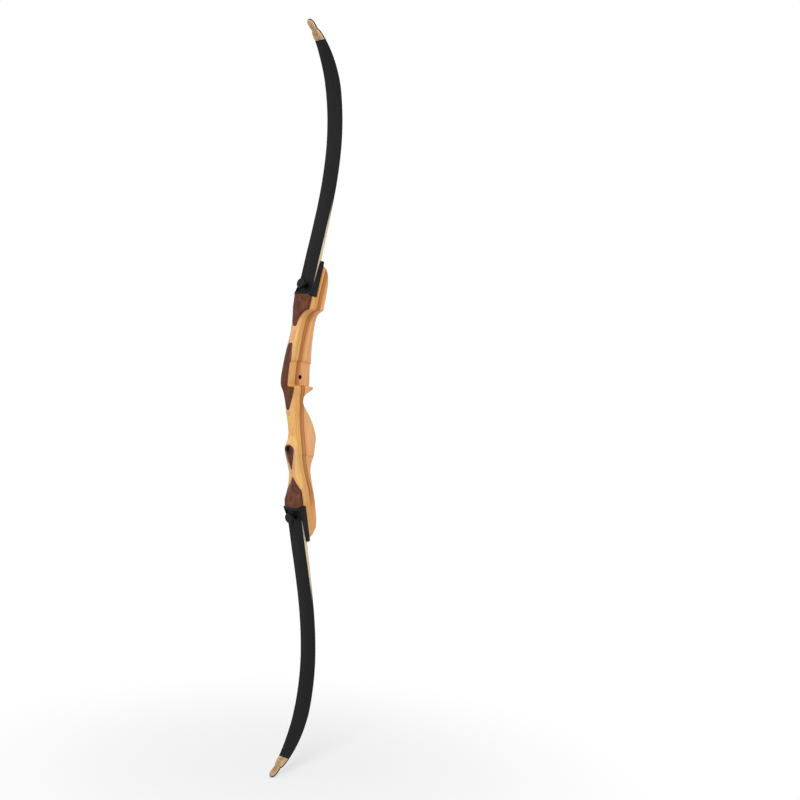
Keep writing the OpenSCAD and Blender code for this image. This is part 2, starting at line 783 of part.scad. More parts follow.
limb_t = heights(-bolt_row)[4];
washer_n = limb_t + rest_gap;
neck_n = washer_n + washer_t + rest_gap;
head_n = neck_n + neck_h;
module washer() {
    color("silver") translate([0, -bolt_row, washer_n]) difference() {
        cylinder(h = washer_t, d = washer_d);
        translate([0, 0, -1]) cylinder(h = washer_t + 2, d = stud_d + 2 * run_gap);
    }
}
module limb_bolt() {
    color("silver") translate([0, -bolt_row, -stud_reach]) {
        cylinder(h = 1, d1 = stud_d - 1.6, d2 = stud_d);
        translate([0, 0, 1]) cylinder(h = stud_reach + head_n + knob_h - 3, d = stud_d);
    }
}
module bolt_knob() {
    flute_d = 2.4;
    color("#1a1a1c") translate([0, -bolt_row, 0]) difference() {
        union() {
            translate([0, 0, neck_n]) cylinder(h = neck_h, d = neck_d);
            translate([0, 0, head_n]) cylinder(h = 1, d1 = knob_d - 2, d2 = knob_d);
            translate([0, 0, head_n + 1]) cylinder(h = knob_h - 2, d = knob_d);
            translate([0, 0, head_n + knob_h - 1]) cylinder(h = 1, d1 = knob_d, d2 = knob_d - 2);
        }
        for (i = [0:knob_flutes - 1]) rotate([0, 0, 360 * i / knob_flutes])
            translate([knob_d / 2 + 0.5, 0, head_n - 1]) cylinder(h = knob_h + 2, d = flute_d, $fn = 24);
        translate([0, 0, neck_n - 1]) cylinder(h = head_n + knob_h - 1 - neck_n, d = stud_d);
    }
}

riser_walnut_back();
riser_thin_beech();
riser_maple();
riser_beech_core();
riser_brown();
riser_belly_beech();
plunger_bushing();
stabilizer_bushing();
sight_bushings();
at_pad(1) limb_pocket();  // upper_limb_pocket
at_pad(-1) limb_pocket();  // lower_limb_pocket
at_pad(1) pocket_screws();  // upper_pocket_screws
at_pad(-1) pocket_screws();  // lower_pocket_screws
at_pad(1) locating_pin();  // upper_locating_pin
at_pad(-1) locating_pin();  // lower_locating_pin
at_pad(1) bolt_insert();  // upper_bolt_insert
at_pad(-1) bolt_insert();  // lower_bolt_insert
limb_core(1);  // upper_limb_core
limb_core(-1);  // lower_limb_core
limb_wedge(1);  // upper_limb_wedge
limb_wedge(-1);  // lower_limb_wedge
back_glass(1);  // upper_back_glass
back_glass(-1);  // lower_back_glass
belly_glass(1);  // upper_belly_glass
belly_glass(-1);  // lower_belly_glass
tip_overlay(1);  // upper_tip_overlay
tip_overlay(-1);  // lower_tip_overlay
at_pad(1) washer();  // upper_washer
at_pad(-1) washer();  // lower_washer
at_pad(1) limb_bolt();  // upper_limb_bolt
at_pad(-1) limb_bolt();  // lower_limb_bolt
at_pad(1) bolt_knob();  // upper_bolt_knob
at_pad(-1) bolt_knob();  // lower_bolt_knob
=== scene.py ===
"""A take-down recurve bow, dressed and lit for its picture.

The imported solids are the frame, in metres: +Z runs up the bow from the throat of the grip, +Y
points to the archer, and the sight window is on the +X side. Sizes here are in millimetres and
become metres where they are used, apart from those of the camera, lamps and floor, in metres.
"""

import math

import bmesh
import bpy
from mathutils import Matrix, Vector

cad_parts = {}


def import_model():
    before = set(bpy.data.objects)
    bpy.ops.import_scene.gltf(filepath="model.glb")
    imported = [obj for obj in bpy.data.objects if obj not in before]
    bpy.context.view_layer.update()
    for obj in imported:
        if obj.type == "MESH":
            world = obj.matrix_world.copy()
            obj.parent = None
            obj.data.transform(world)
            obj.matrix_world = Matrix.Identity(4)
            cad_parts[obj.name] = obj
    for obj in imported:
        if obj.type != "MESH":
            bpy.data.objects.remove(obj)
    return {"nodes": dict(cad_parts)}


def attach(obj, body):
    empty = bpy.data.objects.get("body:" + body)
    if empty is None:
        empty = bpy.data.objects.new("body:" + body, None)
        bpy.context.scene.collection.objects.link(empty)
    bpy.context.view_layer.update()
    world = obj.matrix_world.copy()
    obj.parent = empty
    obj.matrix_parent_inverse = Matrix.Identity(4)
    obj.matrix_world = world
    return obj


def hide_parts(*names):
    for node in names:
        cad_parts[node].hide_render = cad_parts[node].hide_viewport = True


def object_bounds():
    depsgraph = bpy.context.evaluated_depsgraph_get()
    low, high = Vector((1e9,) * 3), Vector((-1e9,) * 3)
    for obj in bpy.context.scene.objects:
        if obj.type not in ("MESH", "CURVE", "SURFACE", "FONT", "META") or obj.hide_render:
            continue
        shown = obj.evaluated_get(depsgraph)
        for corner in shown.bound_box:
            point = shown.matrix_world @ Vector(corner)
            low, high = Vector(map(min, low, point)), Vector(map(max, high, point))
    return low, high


MM = 0.001

# Riser: driving sizes, the same as in the part's source
PAD_REACH = 305.0
PAD_Y = 20.8
PAD_ANGLE = math.radians(13.5)
PAD_LEN = 77.0
PAD_W = 43.6
FADE_W = 46.0
WINDOW_SIDE = 24.0
BELLY_FADE = 49.0
SHELF_Z = 35.0
SHELF_R = 117.0
SHELF_LIP = 9.0
SHELF_W = 17.0
CROWN_Y = -7.0
WINDOW_TOP = SHELF_Z + 166.0
WINDOW_X = -1.5
REST_X = -5.0
REST_H = 53.0
COVE_R = 28.0
GRIP_W = 30.0
PALM_W = 35.0
PALM_Y = 43.6
PALM_Z = 82.0
BOSS_Z = 105.0
BOSS_Y = 31.0
LEDGE_Z = 116.0
LEDGE_W = 28.0
LEDGE_SLOPE = math.radians(8.0)
LEDGE_R = 324.0
LEDGE_TURN = math.radians(3.5)
END_BACK = 2.5
UPPER_FADE = PAD_REACH - PAD_LEN - 12.0
LOWER_FADE = -UPPER_FADE

# Laminations: the glue lines' curve and the depth of each one where it stands straight up
LAM_Z = 12.0
LAM_BEND = 165.0
LAM_END = 1.5
WALNUT_Y = -36.3
LAM_R = 641.0
LAM_RISE = LAM_BEND ** 2 / (2 * LAM_R)
LAM_SLOPE = (PAD_Y - LAM_END - WALNUT_Y - LAM_RISE) / (PAD_REACH - LAM_Z - LAM_BEND)
THIN_Y = WALNUT_Y + 3.0
MAPLE_Y = THIN_Y + 5.0
BEECH_Y = MAPLE_Y + 12.4
BROWN_Y = BEECH_Y + 12.5

# The riser's colour: reach of its bands either way, blend at a line, width of a glue line and of
# the pale line before it, depth of two darker shades, the place of a paler patch, and the reach of
# the painted shade round the stabilizer's hole
LAM_REACH = 60.0
LINE_BLEND = 0.1
VEIN = 0.16
PALE_LINE = 0.9
HEART_DEEP = 6.0
WARM_DEEP = 8.0
WARM_X = (1.0, 12.0)
PALER_Z = (-252.0, -200.0)
HOLE_SHADE_R = (5.0, 17.0)

# Limb bolts, inserts, pins, bushings and screws; T is along a pad and R a radius
FLOOR_T = 2.5
END_WALL = 7.0
BOLT_T = PAD_LEN - END_WALL - 15.0
LIMB_W = 43.4
STUD_R = 3.95
STUD_REACH = 25.0
KNOB_R = 11.25
KNOB_H = 8.0
KNOB_FLUTES = 14
NECK_R = 6.3
NECK_H = 8.5
REST_GAP = 0.04
LIMB_T = 8.8 + 2 * REST_GAP
WASHER_R = 9.0
WASHER_T = 1.6
NECK_LOW = LIMB_T + WASHER_T + REST_GAP
INSERT_R = 6.0
FLANGE_R = 7.3
FLANGE_T = 2.0
SLEEVE_LEN = 21.0
RUN_GAP = 0.08
THREAD_PITCH = 1.25
INSIDE_THREAD = -0.45
PIN_T = 30.0
PIN_R = 3.0
PIN_UP = 6.4
PIN_DOWN = 12.0
PLUNGER_R = 4.85
PLUNGER_Y = 1.0
PLUNGER_Z = SHELF_Z + 17.5
THREAD_R = 3.45
STABIL_R = 6.0
STABIL_LEN = 24.0
SIGHT_R = 3.5
SIGHT_BORE = 1.95
SIGHT_Y = -6.0
SIGHT_Z = SHELF_Z + 96.0
SIGHT_GAP = 33.3
SIGHT_LEN = 12.0
SIGHT_PAIR = (-0.5, 0.5)
SCREW_X = 11.0
SCREW_ROW = 14.0
SCREW_R = 1.75
SCREW_LEN = 15.0

# The riser's mesh: step between its cross-sections, points round a corner, and the grid and the
# smoothing passes that round its edges
RING_STEP = 3.0
CORNER_POINTS = 9
GRID = 1.4
EDGE_PASSES = 3

# How far the cutting tools reach out of the wood, the shorter reach past the sides of the shelf and
# the pads, and how far under the shelf the window's tools start
FAR = 90.0
PAST_SIDES = 60.0
UNDER_SHELF = 40.0

# Steps in a rounded edge, and the gaps, in metres, at which points merge
ROUND_STEPS = 3
MERGE_GAP = 1e-6
COPY_GAP = 2e-6

# Height at which the limbs' sides turn to black lacquer, its blend each way and its ragged edge
LACQUER_Z = 418.0
LACQUER_BLEND = 36.0
RAG_STEP = 9.0
RAG_REACH = 3.0

# Height at which the tips' narrow noses begin, their blend, and where the tips pale to the sides
NOSE_Z = 811.0
NOSE_BLEND = 5.0
TIP_PALE_X = (2.0, 9.0)

# The camera, as fitted to the picture
CAMERA_AZIMUTH = math.radians(46.0)
CAMERA_DISTANCE = 2.520
CAMERA_HEIGHT = 0.0693
CAMERA_YAW = math.radians(4.979)
CAMERA_PITCH = math.radians(-1.266)
CAMERA_ROLL = 0.0525
FOCAL_PX = 1144.64
PICTURE_PX = 800
SENSOR_MM = 36.0

# The lamps: place, aim, size and power of each
LAMPS = [
    ("key", (1.5, -2.4, 1.7), (0, 0, 0), (1.5, 2.2), 84),
    ("fill", (-1.7, -2.4, 0.5), (0, 0, 0), (1.6, 2.4), 6),
    ("back_fill", (1.9, 2.2, -0.5), (0, 0, -0.2), (1.6, 1.8), 14),
]

# Light of the white world, the floor's width, and how it turns white from its middle outwards
SKY_LIGHT = 0.42
FLOOR_W = 24.0
FLOOR_FADE = (0.1, 0.9)
FLOOR_WHITE = (0.6, 1.0)

# Side outline of the riser and its half widths: each row is a height and the value there
BELLY_KEYS = [
    (-PAD_REACH + END_BACK, PAD_Y + 5),
    (-PAD_REACH + 7, PAD_Y + 14),
    (-PAD_REACH + 18, PAD_Y + 23.6),
    (-PAD_REACH + 30, PAD_Y + 29),
    (-PAD_REACH + 43, BELLY_FADE + 0.6),
    (-PAD_REACH + 64, BELLY_FADE - 2.2),
    (-PAD_REACH + 95, BELLY_FADE - 9.6),
    (-PAD_REACH + 125, BELLY_FADE - 18),
    (-LEDGE_Z - 34, 27.4),
    (-LEDGE_Z - 12, 34),
    (-LEDGE_Z - 2, 38.2),
    (-PALM_Z - 15, PALM_Y - 2.4),
    (-PALM_Z, PALM_Y),
    (-PALM_Z + 20, PALM_Y - 5.2),
    (-42, 28.4),
    (-22, 14),
    (-10, 4.4),
    (0, 0),
    (SHELF_Z - 27, 1.2),
    (SHELF_Z - 18, 9.5),
    (SHELF_Z - 12, 20.5),
    (SHELF_Z - SHELF_LIP, 27),
    (SHELF_Z - 4, 29.6),
    (SHELF_Z + 6, 31),
    (SHELF_Z + 66, 29.4),
    (WINDOW_TOP - 60, 31.6),
    (WINDOW_TOP - 26, 36.4),
    (WINDOW_TOP + 4, 38.6),
    (PAD_REACH - 70, BELLY_FADE - 3.4),
    (PAD_REACH - 42, BELLY_FADE),
    (PAD_REACH - 29, BELLY_FADE - 1.4),
    (PAD_REACH - 16, PAD_Y + 22.4),
    (PAD_REACH - 7, PAD_Y + 12.8),
    (PAD_REACH - END_BACK, PAD_Y + 5),
]
BACK_KEYS = [
    (-PAD_REACH, -10),
    (-PAD_REACH + PAD_LEN, -13),
    (-PAD_REACH + PAD_LEN + 18, -13.2),
    (-PAD_REACH + 115, -11.2),
    (-PAD_REACH + 135, -11.3),
    (-PAD_REACH + 147, -13),
    (-BOSS_Z - 45, -16),
    (-BOSS_Z - 31, -21.4),
    (-BOSS_Z - 15, -BOSS_Y + 3.2),
    (-BOSS_Z - 3, -BOSS_Y),
    (-BOSS_Z + 8, -BOSS_Y + 3.4),
    (-BOSS_Z + 18, -23.4),
    (-BOSS_Z + 30, -22.2),
    (-52, -26.2),
    (-22, -35),
    (0, -38.8),
    (SHELF_Z - 20, -41.6),
    (SHELF_Z - 5, -42.8),
    (SHELF_Z + 8, -42.4),
    (SHELF_Z + 45, -36.8),
    (SHELF_Z + 86, -27.4),
    (SHELF_Z + 105, -22),
    (WINDOW_TOP - 46, -19),
    (WINDOW_TOP - 24, -17.6),
    (WINDOW_TOP - 8, -18),
    (UPPER_FADE + 2, -16.2),
    (PAD_REACH, -11),
]
# Width of the slant on the window's edge
EASE_KEYS = [
    (SHELF_Z + 4, 0.5),
    (SHELF_Z + 40, 2.5),
    (WINDOW_TOP - 90, 4),
    (WINDOW_TOP - 30, 4),
    (WINDOW_TOP - 8, 1),
]
FADE_HALF = FADE_W / 2
GRIP_HALF = GRIP_W / 2
BOW_HAND_KEYS = [
    (-PAD_REACH + PAD_LEN - 2, PAD_W / 2),
    (LOWER_FADE, FADE_HALF),
    (-LEDGE_Z - 24, FADE_HALF - 1),
    (-LEDGE_Z - 8, PALM_W / 2 + 2.6),
    (-PALM_Z, PALM_W / 2),
    (-50, GRIP_HALF + 0.8),
    (-20, GRIP_HALF),
    (SHELF_Z - 24, GRIP_HALF + 0.4),
    (SHELF_Z - 14, WINDOW_SIDE - 6),
    (SHELF_Z - 2, WINDOW_SIDE - 0.8),
    (SHELF_Z + 12, WINDOW_SIDE),
    (WINDOW_TOP - 50, WINDOW_SIDE + 1.4),
    (WINDOW_TOP, FADE_HALF + 0.5),
    (UPPER_FADE, FADE_HALF),
    (PAD_REACH - PAD_LEN + 2, PAD_W / 2),
]
WINDOW_SIDE_KEYS = BOW_HAND_KEYS[:3] + [(-LEDGE_Z - 8, PALM_W / 2 + 1)] + BOW_HAND_KEYS[4:8] + [
    (SHELF_Z - 9, SHELF_W),
    (SHELF_Z - 5, SHELF_W - 0.3),
    (SHELF_Z, SHELF_W - 3.5),
    (SHELF_Z + 12, SHELF_W - 5),
    (WINDOW_TOP - 50, SHELF_W - 2),
    (WINDOW_TOP - 8, FADE_HALF),
    (UPPER_FADE, FADE_HALF),
    (PAD_REACH - PAD_LEN + 2, PAD_W / 2),
]
BELLY_ROUND_KEYS = [
    (-PAD_REACH, 2.5),
    (-PAD_REACH + 60, 5),
    (-LEDGE_Z - 40, 7),
    (-LEDGE_Z + 4, 8),
    (-PALM_Z, 10),
    (-50, 10),
    (0, 9),
    (SHELF_Z - 16, 11),
    (SHELF_Z - 3, 13),
    (SHELF_Z + 12, 6),
    (WINDOW_TOP, 6),
    (PAD_REACH - 60, 5),
    (PAD_REACH, 2.5),
]
BACK_ROUND_KEYS = [
    (-PAD_REACH, 3),
    (LOWER_FADE, 5),
    (-PAD_REACH + 125, 9),
    (-BOSS_Z - 14, 9.5),
    (-BOSS_Z, 11.5),
    (-BOSS_Z + 20, 12),
    (-20, 12),
    (SHELF_Z - 14, 10),
    (SHELF_Z + 8, 6),
    (WINDOW_TOP - 60, 5.5),
    (WINDOW_TOP, 6),
    (PAD_REACH - 76, 5),
    (PAD_REACH, 3),
]
BELLY_SPREAD_KEYS = [(-LEDGE_Z - 34, 0.2), (-PALM_Z, 0.75), (-10, 0.75), (SHELF_Z - 12, 0.2)]
BACK_SPREAD_KEYS = [
    (LOWER_FADE, 0.2),
    (-PAD_REACH + 125, 1),
    (-10, 1),
    (SHELF_Z - 6, 0.5),
    (WINDOW_TOP - 60, 0.8),
    (WINDOW_TOP - 20, 0.8),
    (WINDOW_TOP + 5, 0.2),
]
BACK_RIDGE_KEYS = [
    (-PAD_REACH + PAD_LEN + 10, 0),
    (-PAD_REACH + 105, 1),
    (-BOSS_Z - 14, 1),
    (-BOSS_Z + 2, 0),
]


# Small steps that the pieces share


def only(piece):
    """Makes this the one selected and active object."""
    bpy.ops.object.select_all(action="DESELECT")
    piece.select_set(True)
    bpy.context.view_layer.objects.active = piece


def linked(name, mesh):
    """Puts a mesh in the scene as an object at the origin."""
    piece = bpy.data.objects.new(name, mesh)
    bpy.context.scene.collection.objects.link(piece)
    return piece


def applied(piece):
    """Applies every modifier on a piece, in order."""
    only(piece)
    for modifier in list(piece.modifiers):
        bpy.ops.object.modifier_apply(modifier=modifier.name)


def settled(piece):
    """Moves a primitive's own place into its mesh, so that its object sits at the origin."""
    only(piece)
    bpy.ops.object.transform_apply(location=True, rotation=True, scale=True)
    return piece


def cleaned(piece, gap=MERGE_GAP, flat=None):
    """Merges doubled points, joins faces within a flat angle and turns every face outwards."""
    only(piece)
    bpy.ops.object.mode_set(mode="EDIT")
    bpy.ops.mesh.select_all(action="SELECT")
    bpy.ops.mesh.remove_doubles(threshold=gap)
    if flat:
        bpy.ops.mesh.dissolve_limited(angle_limit=math.radians(flat))
    bpy.ops.mesh.normals_make_consistent(inside=False)
    bpy.ops.object.mode_set(mode="OBJECT")
    return piece


def smoothed(piece, angle=30.0):
    """Shades a piece smooth, up to the angle at which an edge stays crisp."""
    only(piece)
    bpy.ops.object.shade_smooth_by_angle(angle=math.radians(angle))
    return piece


def joined(pair):
    """Joins the second piece of a pair into the first."""
    only(pair[0])
    pair[1].select_set(True)
    bpy.ops.object.join()
    return pair[0]


def finished(piece, body, slot, material, *nodes):
    """Gives a piece its material and its body, and hides the nodes that it stands for; the slot is
    not used.
    """
    piece.data.materials.clear()
    piece.data.materials.append(material)
    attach(piece, body)
    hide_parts(*nodes)


def box(name, low, high):
    """A plain block between two corners, in millimetres."""
    middle = [(a + b) / 2 * MM for a, b in zip(low, high)]
    bpy.ops.mesh.primitive_cube_add(size=1, location=middle)
    block = bpy.context.object
    block.name = name
    block.scale = [(b - a) * MM for a, b in zip(low, high)]
    return settled(block)


def rod(name, radius, length, place, sides=96):
    """A plain cylinder round the Z axis of a place, from its origin upwards, in millimetres."""
    bpy.ops.mesh.primitive_cylinder_add(vertices=sides, radius=radius * MM, depth=length * MM)
    piece = bpy.context.object
    piece.name = name
    piece.data.transform(place @ Matrix.Translation((0, 0, length / 2 * MM)))
    return piece


def cut(piece, tool, operation="DIFFERENCE"):
    """Cuts a piece with a tool, and throws the tool away."""
    boolean = piece.modifiers.new("cut", "BOOLEAN")
    boolean.operation = operation
    boolean.solver = "EXACT"
    boolean.object = tool
    applied(piece)
    bpy.data.objects.remove(tool)
    return piece


def turned(name, profile, place, steps=64):
    """Spins a profile of (radius, height) points, in millimetres, round the Z axis of a place."""
    mesh = bpy.data.meshes.new(name)
    points = [(radius * MM, 0, height * MM) for radius, height in profile]
    mesh.from_pydata(points, [(i, i + 1) for i in range(len(points) - 1)], [])
    piece = linked(name, mesh)
    only(piece)
    bpy.ops.object.mode_set(mode="EDIT")
    bpy.ops.mesh.select_all(action="SELECT")
    bpy.ops.mesh.spin(steps=steps, angle=2 * math.pi, center=(0, 0, 0), axis=(0, 0, 1))
    bpy.ops.object.mode_set(mode="OBJECT")
    piece.data.transform(place)
    cleaned(piece)
    return smoothed(piece)


def arc(centre, radius, start, end, points):
    """Points of (radius, height) along an arc between two angles in degrees."""
    span = [math.radians(start + (end - start) * i / (points - 1)) for i in range(points)]
    return [(centre[0] + radius * math.cos(a), centre[1] + radius * math.sin(a)) for a in span]


def threaded(radius, low, high, depth=0.5):
    """Profile points of a thread's crests and roots; inside a hole the depth is below zero."""
    turns = int(abs(high - low) / THREAD_PITCH)
    step = (high - low) / turns
    points = []
    for i in range(turns):
        points.append((radius, low + step * (i + 0.15)))
        points.append((radius, low + step * (i + 0.4)))
        points.append((radius - depth, low + step * (i + 0.9)))
    return points


def pad_place(side, t=0.0, n=0.0, x=0.0):
    """Place on a limb pad: X across, Y outboard along the limb, Z off the pad."""
    sine, cosine = math.sin(PAD_ANGLE), math.cos(PAD_ANGLE)
    axes = Matrix((
        (side, 0, 0, 0),
        (0, sine, -cosine, PAD_Y * MM),
        (0, side * cosine, side * sine, side * PAD_REACH * MM),
        (0, 0, 0, 1),
    ))
    return axes @ Matrix.Translation((x * MM, t * MM, n * MM))


def side_name(side):
    """Name of the limb on a side: 1 is the upper one and -1 the lower one."""
    return "upper" if side > 0 else "lower"


# Materials


def tone(red, green, blue):
    """A colour as seen on screen, 0 to 255, in the renderer's linear values."""
    channels = []
    for value in (red, green, blue):
        value /= 255
        channels.append(value / 12.92 if value <= 0.04045 else ((value + 0.055) / 1.055) ** 2.4)
    return (*channels, 1.0)


class Finish:
    """A material, and the small steps that its nodes are made with."""

    def __init__(self, name, roughness, gloss=0.5, metallic=0.0):
        self.material = bpy.data.materials.new(name)
        self.material.use_nodes = True
        self.tree = self.material.node_tree
        self.shader = self.tree.nodes["Principled BSDF"]
        self.shader.inputs["Roughness"].default_value = roughness
        self.shader.inputs["Metallic"].default_value = metallic
        self.shader.inputs["Specular IOR Level"].default_value = gloss
        split = self.tree.nodes.new("ShaderNodeSeparateXYZ")
        place = self.tree.nodes.new("ShaderNodeTexCoord")
        self.tree.links.new(place.outputs["Object"], split.inputs[0])
        self.x, self.y, self.z = split.outputs

    def set(self, socket, value):
        """Links a node's output to a socket, or writes a plain value to it."""
        if isinstance(value, bpy.types.NodeSocket):
            self.tree.links.new(value, socket)
        else:
            socket.default_value = value

    def math(self, operation, first, second=0.0):
        """The result of one operation on one or two values."""
        node = self.tree.nodes.new("ShaderNodeMath")
        node.operation = operation
        self.set(node.inputs[0], first)
        self.set(node.inputs[1], second)
        return node.outputs[0]

    def length(self, first, second):
        """Length of a slanted line from its two straight parts."""
        squares = [self.math("MULTIPLY", part, part) for part in (first, second)]
        return self.math("SQRT", self.math("ADD", *squares))

    def point(self, x, y, z):
        """A point from its three coordinates."""
        node = self.tree.nodes.new("ShaderNodeCombineXYZ")
        for socket, value in zip(node.inputs, (x, y, z)):
            self.set(socket, value)
        return node.outputs[0]

    def noise(self, x, y, z, detail, rough=0.55, twist=0.0):
        """Noise over three coordinates that are already in steps of its own size."""
        node = self.tree.nodes.new("ShaderNodeTexNoise")
        self.set(node.inputs["Vector"], self.point(x, y, z))
        node.inputs["Scale"].default_value = 1.0
        node.inputs["Detail"].default_value = detail
        node.inputs["Roughness"].default_value = rough
        node.inputs["Distortion"].default_value = twist
        return node.outputs["Fac"]

    def cloud(self, sizes, detail, rough=0.55, depth=None):
        """Noise with steps of these sizes along X, Y and Z, or along a depth instead of Y."""
        axes = (self.x, self.y if depth is None else depth, self.z)
        steps = [self.math("DIVIDE", axis, size * MM) for axis, size in zip(axes, sizes)]
        return self.noise(*steps, detail=detail, rough=rough)

    def between(self, value, low, high, to_low=0.0, to_high=1.0):
        """A smooth step from one value to another."""
        node = self.tree.nodes.new("ShaderNodeMapRange")
        node.interpolation_type = "SMOOTHSTEP"
        self.set(node.inputs["Value"], value)
        node.inputs["From Min"].default_value = low
        node.inputs["From Max"].default_value = high
        node.inputs["To Min"].default_value = to_low
        node.inputs["To Max"].default_value = to_high
        return node.outputs["Result"]

    def bands(self, value, reach, stops):
        """Plain bands of colour, over a reach either way: each stop is where its band begins."""
        low, high = -reach * MM, reach * MM
        scaled = self.math("DIVIDE", self.math("SUBTRACT", value, low), high - low)
        node = self.tree.nodes.new("ShaderNodeValToRGB")
        ramp = node.color_ramp
        ramp.interpolation = "CONSTANT"
        ramp.elements.remove(ramp.elements[1])
        for i, (start, colour) in enumerate(stops):
            spot = min(1.0, max(0.0, (start * MM - low) / (high - low)))
            element = ramp.elements[0] if i == 0 else ramp.elements.new(spot)
            element.position = spot
            element.color = colour
        self.set(node.inputs[0], scaled)
        return node.outputs[0]

    def mixed(self, factor, first, second, mode="MIX"):
        """The first colour at a factor of 0, and the second at 1."""
        node = self.tree.nodes.new("ShaderNodeMix")
        node.data_type = "RGBA"
        node.blend_type = mode
        self.set(node.inputs[0], factor)
        self.set(node.inputs[6], first)
        self.set(node.inputs[7], second)
        return node.outputs[2]

    def colour(self, value):
        self.set(self.shader.inputs["Base Color"], value)

    def rough(self, value):
        self.set(self.shader.inputs["Roughness"], value)

    def bump(self, height, distance):
        """Relief from a height of 0 to 1 over a depth in metres."""
        node = self.tree.nodes.new("ShaderNodeBump")
        node.inputs["Strength"].default_value = 1.0
        node.inputs["Distance"].default_value = distance
        self.set(node.inputs["Height"], height)
        self.tree.links.new(node.outputs[0], self.shader.inputs["Normal"])


def grain(finish, depth, seed):
    """Streaks, fine streaks and pores of a wood that runs up the bow, each 0 to 1."""
    def scaled(value, size, shift=0.0):
        return finish.math("ADD", finish.math("DIVIDE", value, size * MM), shift)

    def streaks(wide, deep, tall, **kinds):
        return finish.noise(
            scaled(finish.x, wide), scaled(depth, deep, seed), scaled(finish.z, tall), **kinds)

    broad = streaks(9, 3.2, 130, detail=3, twist=0.6)
    fine = streaks(1.6, 0.8, 55, detail=3, rough=0.6)
    pores = streaks(0.45, 0.35, 6, detail=1)
    return broad, fine, pores


def riser_wood():
    """Six laminations under satin lacquer: the glue lines follow one curve."""
    finish = Finish("laminated_wood", 0.4, gloss=0.12)
    rise = finish.math("ABSOLUTE", finish.math("SUBTRACT", finish.z, LAM_Z * MM))
    curved = finish.math("MINIMUM", rise, LAM_BEND * MM)
    straight = finish.math("MAXIMUM", finish.math("SUBTRACT", rise, LAM_BEND * MM), 0.0)
    bow = finish.math("DIVIDE", finish.math("MULTIPLY", curved, curved), 2 * LAM_R * MM)
    bow = finish.math("ADD", bow, finish.math("MULTIPLY", straight, LAM_SLOPE))
    depth = finish.math("SUBTRACT", finish.y, bow)

    # Each row is where a band begins, its light and dark tone, and its start in the grain's noise
    glue, brown = tone(104, 64, 36), tone(202, 137, 74)
    rows = [
        (-LAM_REACH, tone(108, 66, 46), tone(66, 37, 25), 0.1),
        (WALNUT_Y, glue, glue, 0.1),
        (WALNUT_Y + VEIN, tone(220, 176, 132), tone(198, 146, 100), 0.3),
        (THIN_Y, tone(230, 189, 119), tone(210, 161, 90), 0.5),
        (MAPLE_Y, tone(228, 178, 110), tone(204, 146, 80), 0.7),
        (BEECH_Y - PALE_LINE, tone(240, 192, 128), tone(220, 166, 100), 0.8),
        (BEECH_Y, glue, glue, 0.8),
        (BEECH_Y + VEIN, brown, tone(156, 94, 42), 0.9),
        (BROWN_Y, tone(236, 184, 128), tone(212, 152, 98), 0.2),
    ]
    light = finish.bands(depth, LAM_REACH, [(y, pale) for y, pale, deep, seed in rows])
    dark = finish.bands(depth, LAM_REACH, [(y, deep) for y, pale, deep, seed in rows])
    starts = [(y, (seed, seed, seed, 1)) for y, pale, deep, seed in rows]
    seeds = finish.bands(depth, LAM_REACH, starts)
    broad, fine, pores = grain(finish, depth, finish.math("MULTIPLY", seeds, 90.0))

    def beyond(line, other):
        """A share that counts only on the belly side of a glue line."""
        low, high = (line - LINE_BLEND) * MM, (line + LINE_BLEND) * MM
        return finish.math("MULTIPLY", finish.between(depth, low, high), other)

    def shade(line, deep, most):
        """A share that fades over a depth from a glue line."""
        return beyond(line, finish.between(depth, line * MM, (line + deep) * MM, most, 0.0))

    streak = finish.between(finish.math("ADD", finish.math("MULTIPLY", broad, 0.65),
                                        finish.math("MULTIPLY", fine, 0.35)), 0.3, 0.66)
    colour = finish.mixed(streak, dark, light)
    colour = finish.mixed(shade(BEECH_Y, HEART_DEEP, 0.7), colour, tone(146, 84, 34))
    near, far = WARM_X
    warm = finish.math("MULTIPLY", shade(BROWN_Y, WARM_DEEP, 0.8),
                       finish.between(finish.x, near * MM, far * MM, 1.0, 0.15))
    colour = finish.mixed(warm, colour, brown)
    low, high = PALER_Z
    paler = beyond(BEECH_Y, finish.between(finish.z, low * MM, high * MM, 0.5, 0.0))
    colour = finish.mixed(paler, colour, tone(244, 188, 124))

    # Painted shade: the walnut round the stabilizer's hole is darkened, as if by the hole's shadow
    off_hole = finish.length(finish.math("ADD", finish.z, BOSS_Z * MM), finish.x)
    near, far = HOLE_SHADE_R
    walnut = finish.between(depth, (WALNUT_Y - LINE_BLEND) * MM, WALNUT_Y * MM, 1.0, 0.0)
    painted_hole_shade = finish.math(
        "MULTIPLY", finish.between(off_hole, near * MM, far * MM, 0.7, 0.0), walnut)
    colour = finish.mixed(painted_hole_shade, colour, tone(36, 19, 12))
    colour = finish.mixed(finish.between(pores, 0.62, 0.74, 0.0, 0.3), colour, dark)
    blush = finish.between(finish.cloud((40, 14, 210), 1, depth=depth), 0.35, 0.7, 0.0, 0.28)
    colour = finish.mixed(blush, colour, tone(255, 196, 160), "MULTIPLY")
    finish.colour(colour)
    finish.rough(finish.between(fine, 0.3, 0.7, 0.34, 0.44))
    finish.bump(finish.math("ADD", fine, finish.math("MULTIPLY", pores, -0.4)), 0.00006)
    return finish.material


